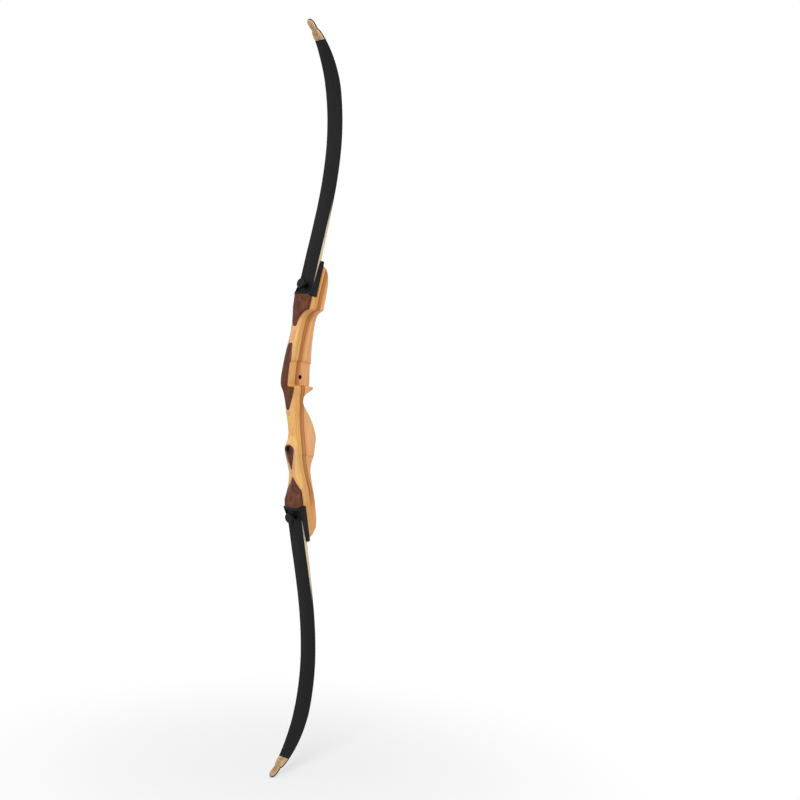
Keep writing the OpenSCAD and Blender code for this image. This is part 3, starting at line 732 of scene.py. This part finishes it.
def tip_wood():
    """Hard wood of the tips, paler to the sides and pinker on the narrow nose."""
    finish = Finish("tip_wood", 0.4, gloss=0.15)
    broad, fine, pores = grain(finish, finish.y, 4.0)
    streak = finish.between(broad, 0.35, 0.65)
    colour = finish.mixed(streak, tone(150, 116, 80), tone(192, 156, 116))
    colour = finish.mixed(finish.between(fine, 0.45, 0.75, 0.0, 0.3), colour, tone(128, 94, 62))
    near, far = TIP_PALE_X
    across = finish.math("ABSOLUTE", finish.x)
    pale = finish.between(across, near * MM, far * MM, 0.0, 0.45)
    colour = finish.mixed(pale, colour, tone(222, 192, 152))
    height = finish.math("ABSOLUTE", finish.z)
    nose = finish.between(height, NOSE_Z * MM, (NOSE_Z + NOSE_BLEND) * MM, 0.0, 0.5)
    colour = finish.mixed(nose, colour, tone(208, 164, 140))
    finish.colour(colour)
    finish.bump(finish.math("ADD", fine, pores), 0.00005)
    return finish.material


def side_lacquer(finish, bare):
    """The bare colour near the pockets, and black lacquer farther out along the limb."""
    height = finish.math("ABSOLUTE", finish.z)
    rag = finish.noise(
        finish.x, finish.y, finish.math("DIVIDE", finish.z, RAG_STEP * MM), detail=1)
    height = finish.math("ADD", height, finish.math("MULTIPLY", rag, RAG_REACH * MM))
    low, high = LACQUER_Z - LACQUER_BLEND, LACQUER_Z + LACQUER_BLEND
    return finish.mixed(finish.between(height, low * MM, high * MM), bare, tone(20, 20, 21))


def limb_core_wood():
    """Pale laminated core, with its plies along the limb."""
    finish = Finish("limb_core_wood", 0.42, gloss=0.12)
    broad, fine, pores = grain(finish, finish.y, 9.0)
    bare = finish.mixed(finish.between(broad, 0.3, 0.7), tone(210, 188, 152), tone(224, 208, 178))
    bare = finish.mixed(finish.between(fine, 0.5, 0.8, 0.0, 0.35), bare, tone(186, 156, 116))
    finish.colour(side_lacquer(finish, bare))
    finish.bump(finish.math("ADD", fine, pores), 0.00004)
    return finish.material


def limb_glass(name, bare_sides):
    """Black glass fibre under satin lacquer, with fine threads along the limb."""
    finish = Finish(name, 0.4, gloss=0.07)
    threads = finish.cloud((0.35, 40, 60), 3, rough=0.6)
    drift = finish.cloud((16, 60, 90), 2)
    colour = finish.mixed(finish.between(threads, 0.3, 0.75), tone(22, 22, 23), tone(34, 34, 36))
    colour = finish.mixed(finish.between(drift, 0.35, 0.7, 0.0, 0.35), colour, tone(18, 18, 19))
    if bare_sides:
        across = finish.math("ABSOLUTE", finish.x)
        side = finish.between(across, (LIMB_W / 2 - 0.4) * MM, (LIMB_W / 2 - 0.2) * MM)
        colour = finish.mixed(side, colour, side_lacquer(finish, tone(216, 205, 182)))
    finish.colour(colour)
    finish.rough(finish.between(threads, 0.3, 0.7, 0.34, 0.46))
    finish.bump(threads, 0.00002)
    return finish.material


def moulded_plastic():
    """Charcoal glass-filled nylon with a fine spark-eroded texture."""
    finish = Finish("moulded_nylon", 0.5, gloss=0.08)
    cells = finish.cloud((0.4,) * 3, 3, rough=0.6)
    wear = finish.cloud((18,) * 3, 2)
    finish.colour(finish.mixed(finish.between(wear, 0.3, 0.7), tone(22, 22, 23), tone(33, 33, 35)))
    finish.rough(finish.between(cells, 0.3, 0.7, 0.42, 0.56))
    finish.bump(cells, 0.00005)
    return finish.material


def gloss_plastic():
    """Smooth black plastic of the knobs."""
    finish = Finish("gloss_black", 0.3, gloss=0.14)
    wear = finish.cloud((5,) * 3, 3)
    finish.colour(finish.mixed(finish.between(wear, 0.3, 0.7), tone(13, 13, 14), tone(22, 22, 24)))
    finish.rough(finish.between(wear, 0.3, 0.7, 0.22, 0.34))
    finish.bump(wear, 0.00002)
    return finish.material


def metal(name, light, dark, roughness):
    """Turned metal with fine cloudy wear."""
    finish = Finish(name, roughness, metallic=1.0)
    wear = finish.cloud((2.5,) * 3, 4, rough=0.65)
    finish.colour(finish.mixed(finish.between(wear, 0.3, 0.7), dark, light))
    finish.rough(finish.between(wear, 0.3, 0.7, roughness - 0.06, roughness + 0.1))
    finish.bump(wear, 0.00002)
    return finish.material


# Riser


def secant(keys, i):
    """Slope of the straight line between two keys."""
    return (keys[i + 1][1] - keys[i][1]) / (keys[i + 1][0] - keys[i][0])


def slope(keys, i):
    """Slope of the curve at a key, level where the keys turn."""
    if i == 0:
        return secant(keys, 0)
    if i == len(keys) - 1:
        return secant(keys, i - 1)
    before, after = secant(keys, i - 1), secant(keys, i)
    return 0.0 if before * after <= 0 else 2 * before * after / (before + after)


def along(keys, z):
    """Smooth curve through the keys that never swings past them."""
    if z <= keys[0][0]:
        return keys[0][1]
    if z >= keys[-1][0]:
        return keys[-1][1]
    i = next(j for j in range(len(keys) - 1) if keys[j + 1][0] > z)
    h = keys[i + 1][0] - keys[i][0]
    u = (z - keys[i][0]) / h
    return (keys[i][1] * (1 + 2 * u) * (1 - u) ** 2 + slope(keys, i) * h * u * (1 - u) ** 2
            + keys[i + 1][1] * u * u * (3 - 2 * u) - slope(keys, i + 1) * h * u * u * (1 - u))


def corner(x, y, reach_x, reach_y, start, z, ridge=0.0):
    """A quarter round, drawn in to its chord by the ridge."""
    first, last = math.radians(start), math.radians(start + 90)
    points = []
    for i in range(CORNER_POINTS):
        u = i / (CORNER_POINTS - 1)
        angle = first + (last - first) * u
        chord_x = math.cos(first) * (1 - u) + math.cos(last) * u
        chord_y = math.sin(first) * (1 - u) + math.sin(last) * u
        across = math.cos(angle) * (1 - ridge) + chord_x * ridge
        deep = math.sin(angle) * (1 - ridge) + chord_y * ridge
        points.append(((x + reach_x * across) * MM, (y + reach_y * deep) * MM, z * MM))
    return points


def section(z):
    """One rounded cross-section of the riser."""
    back, belly = along(BACK_KEYS, z), along(BELLY_KEYS, z)
    left, right = along(BOW_HAND_KEYS, z), along(WINDOW_SIDE_KEYS, z)
    most = min(left, right) - 0.6
    belly_deep = along(BELLY_ROUND_KEYS, z)
    back_deep = min(along(BACK_ROUND_KEYS, z), belly - back - belly_deep - 1)
    belly_wide = min(most, max(belly_deep, along(BELLY_SPREAD_KEYS, z) * most))
    back_wide = min(most, max(back_deep, along(BACK_SPREAD_KEYS, z) * most))
    ridge = along(BACK_RIDGE_KEYS, z)
    return (corner(right - belly_wide, belly - belly_deep, belly_wide, belly_deep, 0, z)
            + corner(-left + belly_wide, belly - belly_deep, belly_wide, belly_deep, 90, z)
            + corner(-left + back_wide, back + back_deep, back_wide, back_deep, 180, z, ridge)
            + corner(right - back_wide, back + back_deep, back_wide, back_deep, 270, z, ridge))


def skinned(name, ring, low, high):
    """A solid through the closed rings of points that a function gives at each height."""
    rings = round((high - low) / RING_STEP)
    points = []
    for i in range(rings + 1):
        points += ring(low + (high - low) * i / rings)
    count = len(points) // (rings + 1)
    faces = []
    for a in range(0, rings * count, count):
        for b in range(count):
            c = (b + 1) % count
            faces.append([a + b, a + c, a + count + c, a + count + b])
    faces += [list(range(count))[::-1], [rings * count + b for b in range(count)]]
    mesh = bpy.data.meshes.new(name)
    mesh.from_pydata(points, [], faces)
    return cleaned(linked(name, mesh))


def riser_blank():
    """The riser's full shape before the window is cut."""
    return skinned("riser_wood", section, -PAD_REACH + END_BACK, PAD_REACH - END_BACK)


def eased_edge_tool():
    """What is taken off the window's edge on the target side: a slant, which is sanded round."""
    over = 3

    def ring(z):
        back = along(BACK_KEYS, z)
        width = along(EASE_KEYS, z)
        spots = [
            (WINDOW_X - width - over, back - over),
            (WINDOW_X + over, back - over),
            (WINDOW_X + over, back + width + over),
        ]
        return [(x * MM, y * MM, z * MM) for x, y in spots]

    return skinned("eased_edge", ring, SHELF_Z + 4, WINDOW_TOP - 8)


def crown(up):
    """The solid under the arrow shelf's crowned top, or under that crown raised."""
    half = 120
    spot = Matrix.Translation((-half * MM, CROWN_Y * MM, (SHELF_Z + up - SHELF_R) * MM))
    return rod("crown", SHELF_R, 2 * half, spot @ Matrix.Rotation(math.pi / 2, 4, "Y"), sides=256)


def window_tool():
    """What the sight window takes away, from the crowned shelf up to the cove."""
    low, round_z = SHELF_Z - UNDER_SHELF, WINDOW_TOP - COVE_R
    tool = box("window", (WINDOW_X, -FAR, low), (FAR, FAR, round_z))
    spot = Matrix.Translation(((WINDOW_X + COVE_R) * MM, FAR * MM, round_z * MM))
    turn = Matrix.Rotation(math.pi / 2, 4, "X")
    cut(tool, rod("cove", COVE_R, 2 * FAR, spot @ turn, sides=192), "UNION")
    cut(tool, box("upper", (WINDOW_X + COVE_R, -FAR, SHELF_Z), (FAR, FAR, WINDOW_TOP)), "UNION")
    return cut(tool, crown(0))


def rest_tool():
    """What the deeper recess over the arrow shelf takes away."""
    low, high = SHELF_Z - UNDER_SHELF, SHELF_Z + REST_H + 1
    tool = box("rest", (REST_X, -FAR, low), (PAST_SIDES, FAR, high))
    cut(tool, crown(REST_H), "INTERSECT")
    return cut(tool, crown(0))


def ledge_tool(side):
    """What is scooped from one side under the grip's ledge."""
    tilt = Matrix.Translation((0, 0, -LEDGE_Z * MM)) @ Matrix.Rotation(-LEDGE_SLOPE, 4, "X")
    turn = Matrix.Rotation(math.pi / 2, 4, "X")
    spot = Matrix.Translation((side * LEDGE_R * MM, FAR * MM, 0))
    fading = Matrix.Translation((side * LEDGE_W / 2 * MM, PALM_Y * MM, 0))
    fading = fading @ Matrix.Rotation(side * LEDGE_TURN, 4, "Z")
    back = Matrix.Translation((0, -PALM_Y * MM, 0))
    tool = rod("ledge", LEDGE_R, 2 * FAR, tilt @ fading @ back @ spot @ turn, sides=512)
    low_x, high_x = (0, FAR) if side > 0 else (-FAR, 0)
    deep, tall = 80, 110
    half = box("half", (low_x, -deep, -tall), (high_x, deep, 0))
    half.data.transform(tilt)
    return cut(tool, half, "INTERSECT")


def pad_tool(side):
    """What is cut away over a limb pad, down to the pocket's floor."""
    tool = box("pad", (-PAST_SIDES, -PAD_LEN, -FLOOR_T), (PAST_SIDES, PAD_LEN, FAR))
    tool.data.transform(pad_place(side))
    return tool


def bored(piece):
    """Drills the holes for the bushings, inserts, pins and screws."""
    seat = -FLOOR_T - RUN_GAP - SLEEVE_LEN
    reach = 60
    drills = []
    for side in (1, -1):
        drills.append(rod("sleeve", INSERT_R, reach, pad_place(side, -BOLT_T, seat - 1)))
        drills.append(rod("flange", FLANGE_R, reach, pad_place(side, -BOLT_T, seat - reach)))
        drills.append(rod("pin", PIN_R, reach, pad_place(side, -PIN_T, -FLOOR_T - PIN_DOWN)))
        for x in (-SCREW_X, SCREW_X):
            place = pad_place(side, -SCREW_ROW, -SCREW_LEN, x)
            drills.append(rod("screw", SCREW_R, reach, place, sides=32))
    drills.append(rod("plunger", PLUNGER_R, reach + 20, plunger_place(-reach)))
    drills.append(rod("stabilizer", STABIL_R, reach, stabil_place(-STABIL_LEN)))
    for up in SIGHT_PAIR:
        drills.append(rod("sight", SIGHT_R, reach / 2, sight_place(up, -SIGHT_LEN), sides=48))
    for drill in drills:
        cut(piece, drill)


def riser(material):
    """The laminated riser, cut, and its edges eased by hand sanding."""
    piece = riser_blank()
    cut(piece, window_tool())
    cut(piece, rest_tool())
    cut(piece, eased_edge_tool())
    for side in (1, -1):
        cut(piece, ledge_tool(side))
        cut(piece, pad_tool(side))
    remesh = piece.modifiers.new("grid", "REMESH")
    remesh.mode = "VOXEL"
    remesh.voxel_size = GRID * MM
    ease = piece.modifiers.new("ease", "SMOOTH")
    ease.factor = 0.5
    ease.iterations = EDGE_PASSES
    applied(piece)
    bored(piece)
    smoothed(piece, 40)
    nodes = ("riser_walnut_back", "riser_thin_beech", "riser_maple", "riser_beech_core",
             "riser_brown", "riser_belly_beech")
    finished(piece, "riser", "beech", material, *nodes)


# Bushings in the riser


def plunger_place(n=0.0):
    """Along the plunger hole, from the bow-hand side to the window."""
    spot = Matrix.Translation((n * MM, PLUNGER_Y * MM, PLUNGER_Z * MM))
    return spot @ Matrix.Rotation(math.pi / 2, 4, "Y")


def stabil_place(n=0.0):
    """Out of the stabilizer hole, from its mouth."""
    spot = Matrix.Translation((0, (-BOSS_Y + 0.9 - n) * MM, -BOSS_Z * MM))
    return spot @ Matrix.Rotation(math.pi / 2, 4, "X")


def sight_place(up, n=0.0):
    """Out of one sight bushing, from its mouth on the bow-hand side."""
    x, z = -WINDOW_SIDE + 0.3 - n, SIGHT_Z + up * SIGHT_GAP
    spot = Matrix.Translation((x * MM, SIGHT_Y * MM, z * MM))
    return spot @ Matrix.Rotation(-math.pi / 2, 4, "Y")


def plunger_bushing(material):
    """Threaded sleeve from the bow-hand side to the recess over the arrow shelf."""
    start, end = -WINDOW_SIDE + 0.3, REST_X
    mouth = THREAD_R + 0.8
    profile = [(mouth, start), (PLUNGER_R - 0.2, start), (PLUNGER_R, start + 0.3)]
    profile += [(PLUNGER_R, end - 0.3), (PLUNGER_R - 0.2, end), (mouth, end)]
    profile += threaded(THREAD_R, start + 1, end - 1, INSIDE_THREAD)[::-1] + [(mouth, start)]
    piece = turned("plunger_sleeve", profile, plunger_place())
    finished(piece, "riser", "dark_steel", material, "plunger_bushing")


def stabilizer_bushing(material):
    """Threaded sleeve with a closed end, in the boss under the grip."""
    end = -STABIL_LEN + 3
    profile = [(0, end), (THREAD_R, end)] + threaded(THREAD_R, end + 0.5, -1.0, INSIDE_THREAD)
    profile += [(THREAD_R + 0.9, 0), (STABIL_R - 0.4, 0), (STABIL_R, -0.4)]
    profile += [(STABIL_R, -STABIL_LEN), (0, -STABIL_LEN)]
    piece = turned("stabilizer_sleeve", profile, stabil_place())
    finished(piece, "riser", "dark_steel", material, "stabilizer_bushing")


def sight_bushings(material):
    """Two small threaded sleeves for a sight, on the bow-hand side."""
    profile = [(SIGHT_R - 0.3, 0), (SIGHT_R, -0.3), (SIGHT_R, -SIGHT_LEN)]
    profile += [(SIGHT_BORE + 0.3, -SIGHT_LEN)]
    profile += threaded(SIGHT_BORE, -SIGHT_LEN + 0.5, -0.6, -0.3)
    profile += [(SIGHT_BORE + 0.4, 0), (SIGHT_R - 0.3, 0)]
    pair = [turned("sight_sleeves", profile, sight_place(up), steps=48) for up in SIGHT_PAIR]
    finished(joined(pair), "riser", "brass", material, "sight_bushings")


# Pockets and limbs start from merged copies of their solids


def merged_copy(node, name):
    """A copy of a CAD node with its points merged and its flat faces joined up."""
    piece = linked(name, frame["nodes"][node].data.copy())
    piece.data.materials.clear()
    return cleaned(piece, COPY_GAP, flat=0.25)


def softened(piece, width, chosen):
    """Rounds the edges that a test picks, over a width in millimetres."""
    mesh = bmesh.new()
    mesh.from_mesh(piece.data)
    weight = mesh.edges.layers.float.new("bevel_weight_edge")
    for edge in mesh.edges:
        if len(edge.link_faces) == 2 and chosen(edge):
            edge[weight] = 1.0
    mesh.to_mesh(piece.data)
    mesh.free()
    bevel = piece.modifiers.new("rounded", "BEVEL")
    bevel.limit_method = "WEIGHT"
    bevel.width = width * MM
    bevel.segments = ROUND_STEPS
    bevel.harden_normals = False
    bevel.use_clamp_overlap = True
    applied(piece)


def sharp(edge, least=35.0):
    """Whether an edge's faces turn by more than an angle."""
    return edge.calc_face_angle(0.0) > math.radians(least)


def outer_rim(facing):
    """Picks sharp edges of the face that looks to the back (-1) or to the belly (1)."""
    def test(edge):
        return sharp(edge) and any(
            face.normal.y * facing > 0.5 and abs(face.normal.x) < 0.3 for face in edge.link_faces)

    return test


def limb_pocket(side, material):
    """The moulded pocket that a limb's butt sits in, with its longer edges rounded."""
    name = side_name(side)
    piece = merged_copy(name + "_limb_pocket", name + "_pocket_shell")
    long_edge = 3 * MM
    softened(piece, 0.7, lambda edge: sharp(edge, 20) and edge.calc_length() > long_edge)
    smoothed(piece, 35)
    finished(piece, "riser", "pocket", material, name + "_limb_pocket")


def limb(side, materials):
    """The limb's layers, with the edges rounded where a face meets the open air."""
    name = side_name(side)
    body = name + "_limb"
    # Each row is a node, its piece, slot and material, which edges are rounded, and how wide
    layers = [
        ("_limb_core", "_core", "limb_core_wood", "core", None, 0),
        ("_limb_wedge", "_butt_wedge", "limb_core_wood", "core", None, 0),
        ("_back_glass", "_back_face", "limb_glass", "back", outer_rim(-1), 0.5),
        ("_belly_glass", "_belly_face", "limb_glass", "belly", outer_rim(1), 0.5),
        ("_tip_overlay", "_tip_cap", "tip_wood", "tip", outer_rim(-1), 1.1),
    ]
    for node, piece_name, slot, material, chosen, width in layers:
        piece = merged_copy(name + node, name + piece_name)
        if chosen:
            softened(piece, width, chosen)
        smoothed(piece, 28)
        finished(piece, body, slot, materials[material], name + node)


# Hardware on the limb pads


def bolt_insert(side, material):
    """Insert that the limb bolt screws into, with its flange on the archer's side."""
    name = side_name(side)
    seat = -FLOOR_T - RUN_GAP - SLEEVE_LEN
    low, high = seat - FLANGE_T, seat + SLEEVE_LEN
    bore, edge = STUD_R + RUN_GAP, 0.4
    profile = [(bore + 0.5, low), (FLANGE_R - edge, low), (FLANGE_R, low + edge), (FLANGE_R, seat)]
    profile += [(INSERT_R, seat), (INSERT_R, high - edge), (INSERT_R - edge, high)]
    profile += [(bore + edge, high), (bore, high - edge), (bore, low + 0.5), (bore + 0.5, low)]
    piece = turned(name + "_insert", profile, pad_place(side, -BOLT_T), steps=72)
    finished(piece, "riser", "brass", material, name + "_bolt_insert")


def washer(side, material):
    """Flat washer on the limb's butt, with a rounded rim."""
    name = side_name(side)
    bore, edge = STUD_R + RUN_GAP, 0.35
    profile = [(bore, LIMB_T), (WASHER_R - edge, LIMB_T)]
    profile += arc((WASHER_R - edge, LIMB_T + edge), edge, -90, 0, 4)
    profile += arc((WASHER_R - edge, LIMB_T + WASHER_T - edge), edge, 0, 90, 4)
    profile += [(bore + 0.2, LIMB_T + WASHER_T), (bore, LIMB_T + WASHER_T - 0.2), (bore, LIMB_T)]
    piece = turned(name + "_flat_washer", profile, pad_place(side, -BOLT_T), steps=72)
    finished(piece, name + "_bolt_washer", "steel", material, name + "_washer")


def limb_bolt(side, material):
    """The threaded stud, from inside the insert up into the knob."""
    name = side_name(side)
    top = NECK_LOW + NECK_H + KNOB_H - 2
    profile = [(0, -STUD_REACH), (STUD_R - 0.8, -STUD_REACH), (STUD_R, -STUD_REACH + 1)]
    profile += threaded(STUD_R, -STUD_REACH + 1, LIMB_T - 2)
    profile += [(STUD_R, LIMB_T - 1), (STUD_R, top), (0, top)]
    piece = turned(name + "_stud", profile, pad_place(side, -BOLT_T), steps=48)
    finished(piece, name + "_bolt", "steel", material, name + "_limb_bolt")


def scalloped(piece, place, reach, depth):
    """Presses shallow finger grips into the points near a knob's rim."""
    back = place.inverted()
    for vertex in piece.data.vertices:
        spot = back @ vertex.co
        radius = math.hypot(spot.x, spot.y)
        if radius > reach * MM:
            wave = 0.5 + 0.5 * math.cos(KNOB_FLUTES * math.atan2(spot.y, spot.x))
            shrink = 1 - depth * MM * wave ** 3 / radius
            vertex.co = place @ Vector((spot.x * shrink, spot.y * shrink, spot.z))


def bolt_knob(side, material):
    """Round knob with a neck, soft rims, finger grips and a dished face."""
    name = side_name(side)
    base = NECK_LOW
    low = base + NECK_H
    high = low + KNOB_H
    rim, lip, fillet, edge = 1.9, 1.1, 1.2, 0.3
    profile = [(0, high - 2), (STUD_R, high - 2), (STUD_R, base)]
    profile += [(NECK_R - edge, base), (NECK_R, base + edge)]
    profile += [(NECK_R + fillet - x, y) for x, y in arc((0, low - fillet), fillet, 0, 90, 5)]
    profile += arc((KNOB_R - lip, low + lip), lip, -90, 0, 5)
    profile += arc((KNOB_R - rim, high - rim), rim, 0, 90, 7)
    profile += [(KNOB_R - 3.4, high), (KNOB_R - 3.9, high - 0.45), (4.6, high - 0.7)]
    profile += [(4.2, high - 0.25), (3.7, high - 0.1), (0, high - 0.1)]
    place = pad_place(side, -BOLT_T)
    piece = turned(name + "_knob", profile, place, steps=KNOB_FLUTES * 10)
    scalloped(piece, place, KNOB_R - 1.2, 0.7)
    smoothed(piece, 40)
    finished(piece, name + "_bolt", "knob", material, name + "_bolt_knob")


def locating_pin(side, material):
    """Dowel with a rounded end, which the hole in the limb's butt drops over."""
    name = side_name(side)
    low, high, round_off = -FLOOR_T - PIN_DOWN, PIN_UP, 0.9
    profile = [(0, low), (PIN_R - 0.4, low), (PIN_R, low + 0.4)]
    profile += arc((PIN_R - round_off, high - round_off), round_off, 0, 90, 5) + [(0, high)]
    piece = turned(name + "_dowel", profile, pad_place(side, -PIN_T), steps=48)
    finished(piece, "riser", "steel", material, name + "_locating_pin")


def pocket_screws(side, material):
    """Two countersunk screws with cross recesses."""
    name = side_name(side)
    pair = []
    for x in (-SCREW_X, SCREW_X):
        place = pad_place(side, -SCREW_ROW, 0, x)
        tip, head = -SCREW_LEN + 2.4, 2 * SCREW_R
        profile = [(0, -SCREW_LEN), (0.5, -SCREW_LEN + 0.2), (SCREW_R, tip)]
        profile += threaded(SCREW_R, tip, -3.2, 0.35)
        profile += [(SCREW_R, -2.6), (SCREW_R, -1.8), (head - 0.1, -0.15), (head - 0.2, 0), (0, 0)]
        screw = turned(name + "_screws", profile, place, steps=40)
        for wide, deep in ((0.5, 2.1), (2.1, 0.5)):
            slot = box("slot", (-wide, -deep, -1.1), (wide, deep, 1))
            slot.data.transform(place)
            cut(screw, slot)
        pair.append(smoothed(screw))
    finished(joined(pair), "riser", "steel", material, name + "_pocket_screws")


# Studio


def camera():
    """The camera stands where the picture was taken from."""
    heading = CAMERA_AZIMUTH - CAMERA_YAW
    turn = (Matrix.Rotation(heading, 4, "Z") @ Matrix.Rotation(math.pi / 2 + CAMERA_PITCH, 4, "X")
            @ Matrix.Rotation(CAMERA_ROLL, 4, "Z"))
    x = CAMERA_DISTANCE * math.sin(CAMERA_AZIMUTH)
    y = -CAMERA_DISTANCE * math.cos(CAMERA_AZIMUTH)
    bpy.ops.object.camera_add()
    eye = bpy.context.object
    eye.matrix_world = Matrix.Translation(Vector((x, y, CAMERA_HEIGHT))) @ turn
    eye.data.sensor_width = SENSOR_MM
    eye.data.lens = SENSOR_MM * FOCAL_PX / PICTURE_PX
    eye.data.clip_end = 50
    bpy.context.scene.camera = eye


def softbox(name, spot, aim, size, power):
    """A wide lamp at a spot, turned to what it is aimed at."""
    bpy.ops.object.light_add(type="AREA", location=spot)
    lamp = bpy.context.object
    lamp.name = name
    lamp.rotation_euler = (Vector(aim) - Vector(spot)).to_track_quat("-Z", "Y").to_euler()
    lamp.data.shape = "RECTANGLE"
    lamp.data.size, lamp.data.size_y = size
    lamp.data.energy = power


def shown_white(tree, plain, white, output, share=None):
    """Shows the white shader, or a share of it, to the camera, reflections and glass only."""
    path = tree.nodes.new("ShaderNodeLightPath")
    seen = path.outputs["Is Camera Ray"]
    steps = [("MAXIMUM", path.outputs[kind]) for kind in ("Is Glossy Ray", "Is Transmission Ray")]
    if share:
        steps.append(("MULTIPLY", share))
    for operation, other in steps:
        node = tree.nodes.new("ShaderNodeMath")
        node.operation = operation
        tree.links.new(seen, node.inputs[0])
        tree.links.new(other, node.inputs[1])
        seen = node.outputs[0]
    mix = tree.nodes.new("ShaderNodeMixShader")
    for socket, source in zip(mix.inputs, (seen, plain.outputs[0], white.outputs[0])):
        tree.links.new(source, socket)
    tree.links.new(mix.outputs[0], tree.nodes[output].inputs[0])


def world():
    """Soft even light, with a white background."""
    sky = bpy.data.worlds.new("studio")
    bpy.context.scene.world = sky
    sky.use_nodes = True
    tree = sky.node_tree
    plain = tree.nodes["Background"]
    white = tree.nodes.new("ShaderNodeBackground")
    for shader, strength in ((plain, SKY_LIGHT), (white, 1.0)):
        shader.inputs["Color"].default_value = (1, 1, 1, 1)
        shader.inputs["Strength"].default_value = strength
    shown_white(tree, plain, white, "World Output")


def floor(height):
    """A pale floor under the lower limb tip, which keeps the shadow and fades to white."""
    bpy.ops.mesh.primitive_plane_add(size=FLOOR_W, location=(0, 0, height))
    plane = settled(bpy.context.object)
    plane.name = "floor"
    finish = Finish("pale_floor", 0.9)
    finish.colour(tone(240, 240, 240))
    white = finish.tree.nodes.new("ShaderNodeEmission")
    share = finish.between(finish.length(finish.x, finish.y), *FLOOR_FADE, *FLOOR_WHITE)
    shown_white(finish.tree, finish.shader, white, "Material Output", share)
    plane.data.materials.append(finish.material)


def studio(height):
    """The picture's camera, background, floor and lamps."""
    bpy.context.scene.view_settings.view_transform = "Standard"
    camera()
    world()
    floor(height)
    for lamp in LAMPS:
        softbox(*lamp)


# Putting the bow together


def dress():
    """Makes the materials and every piece of the bow."""
    steel = metal("plain_steel", tone(200, 200, 203), tone(150, 150, 154), 0.32)
    brass = metal("plain_brass", tone(214, 176, 96), tone(160, 120, 58), 0.34)
    dark_steel = metal("blackened_steel", tone(42, 39, 38), tone(24, 22, 21), 0.42)
    nylon = moulded_plastic()
    gloss = gloss_plastic()
    layers = {
        "core": limb_core_wood(),
        "back": limb_glass("back_glass_fibre", False),
        "belly": limb_glass("belly_glass_fibre", True),
        "tip": tip_wood(),
    }
    riser(riser_wood())
    plunger_bushing(dark_steel)
    stabilizer_bushing(dark_steel)
    sight_bushings(brass)
    for side in (1, -1):
        limb_pocket(side, nylon)
        limb(side, layers)
        bolt_insert(side, brass)
        washer(side, dark_steel)
        limb_bolt(side, dark_steel)
        bolt_knob(side, gloss)
        locating_pin(side, steel)
        pocket_screws(side, steel)


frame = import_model()
cad_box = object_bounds()
studio(cad_box[0][2])
dress()
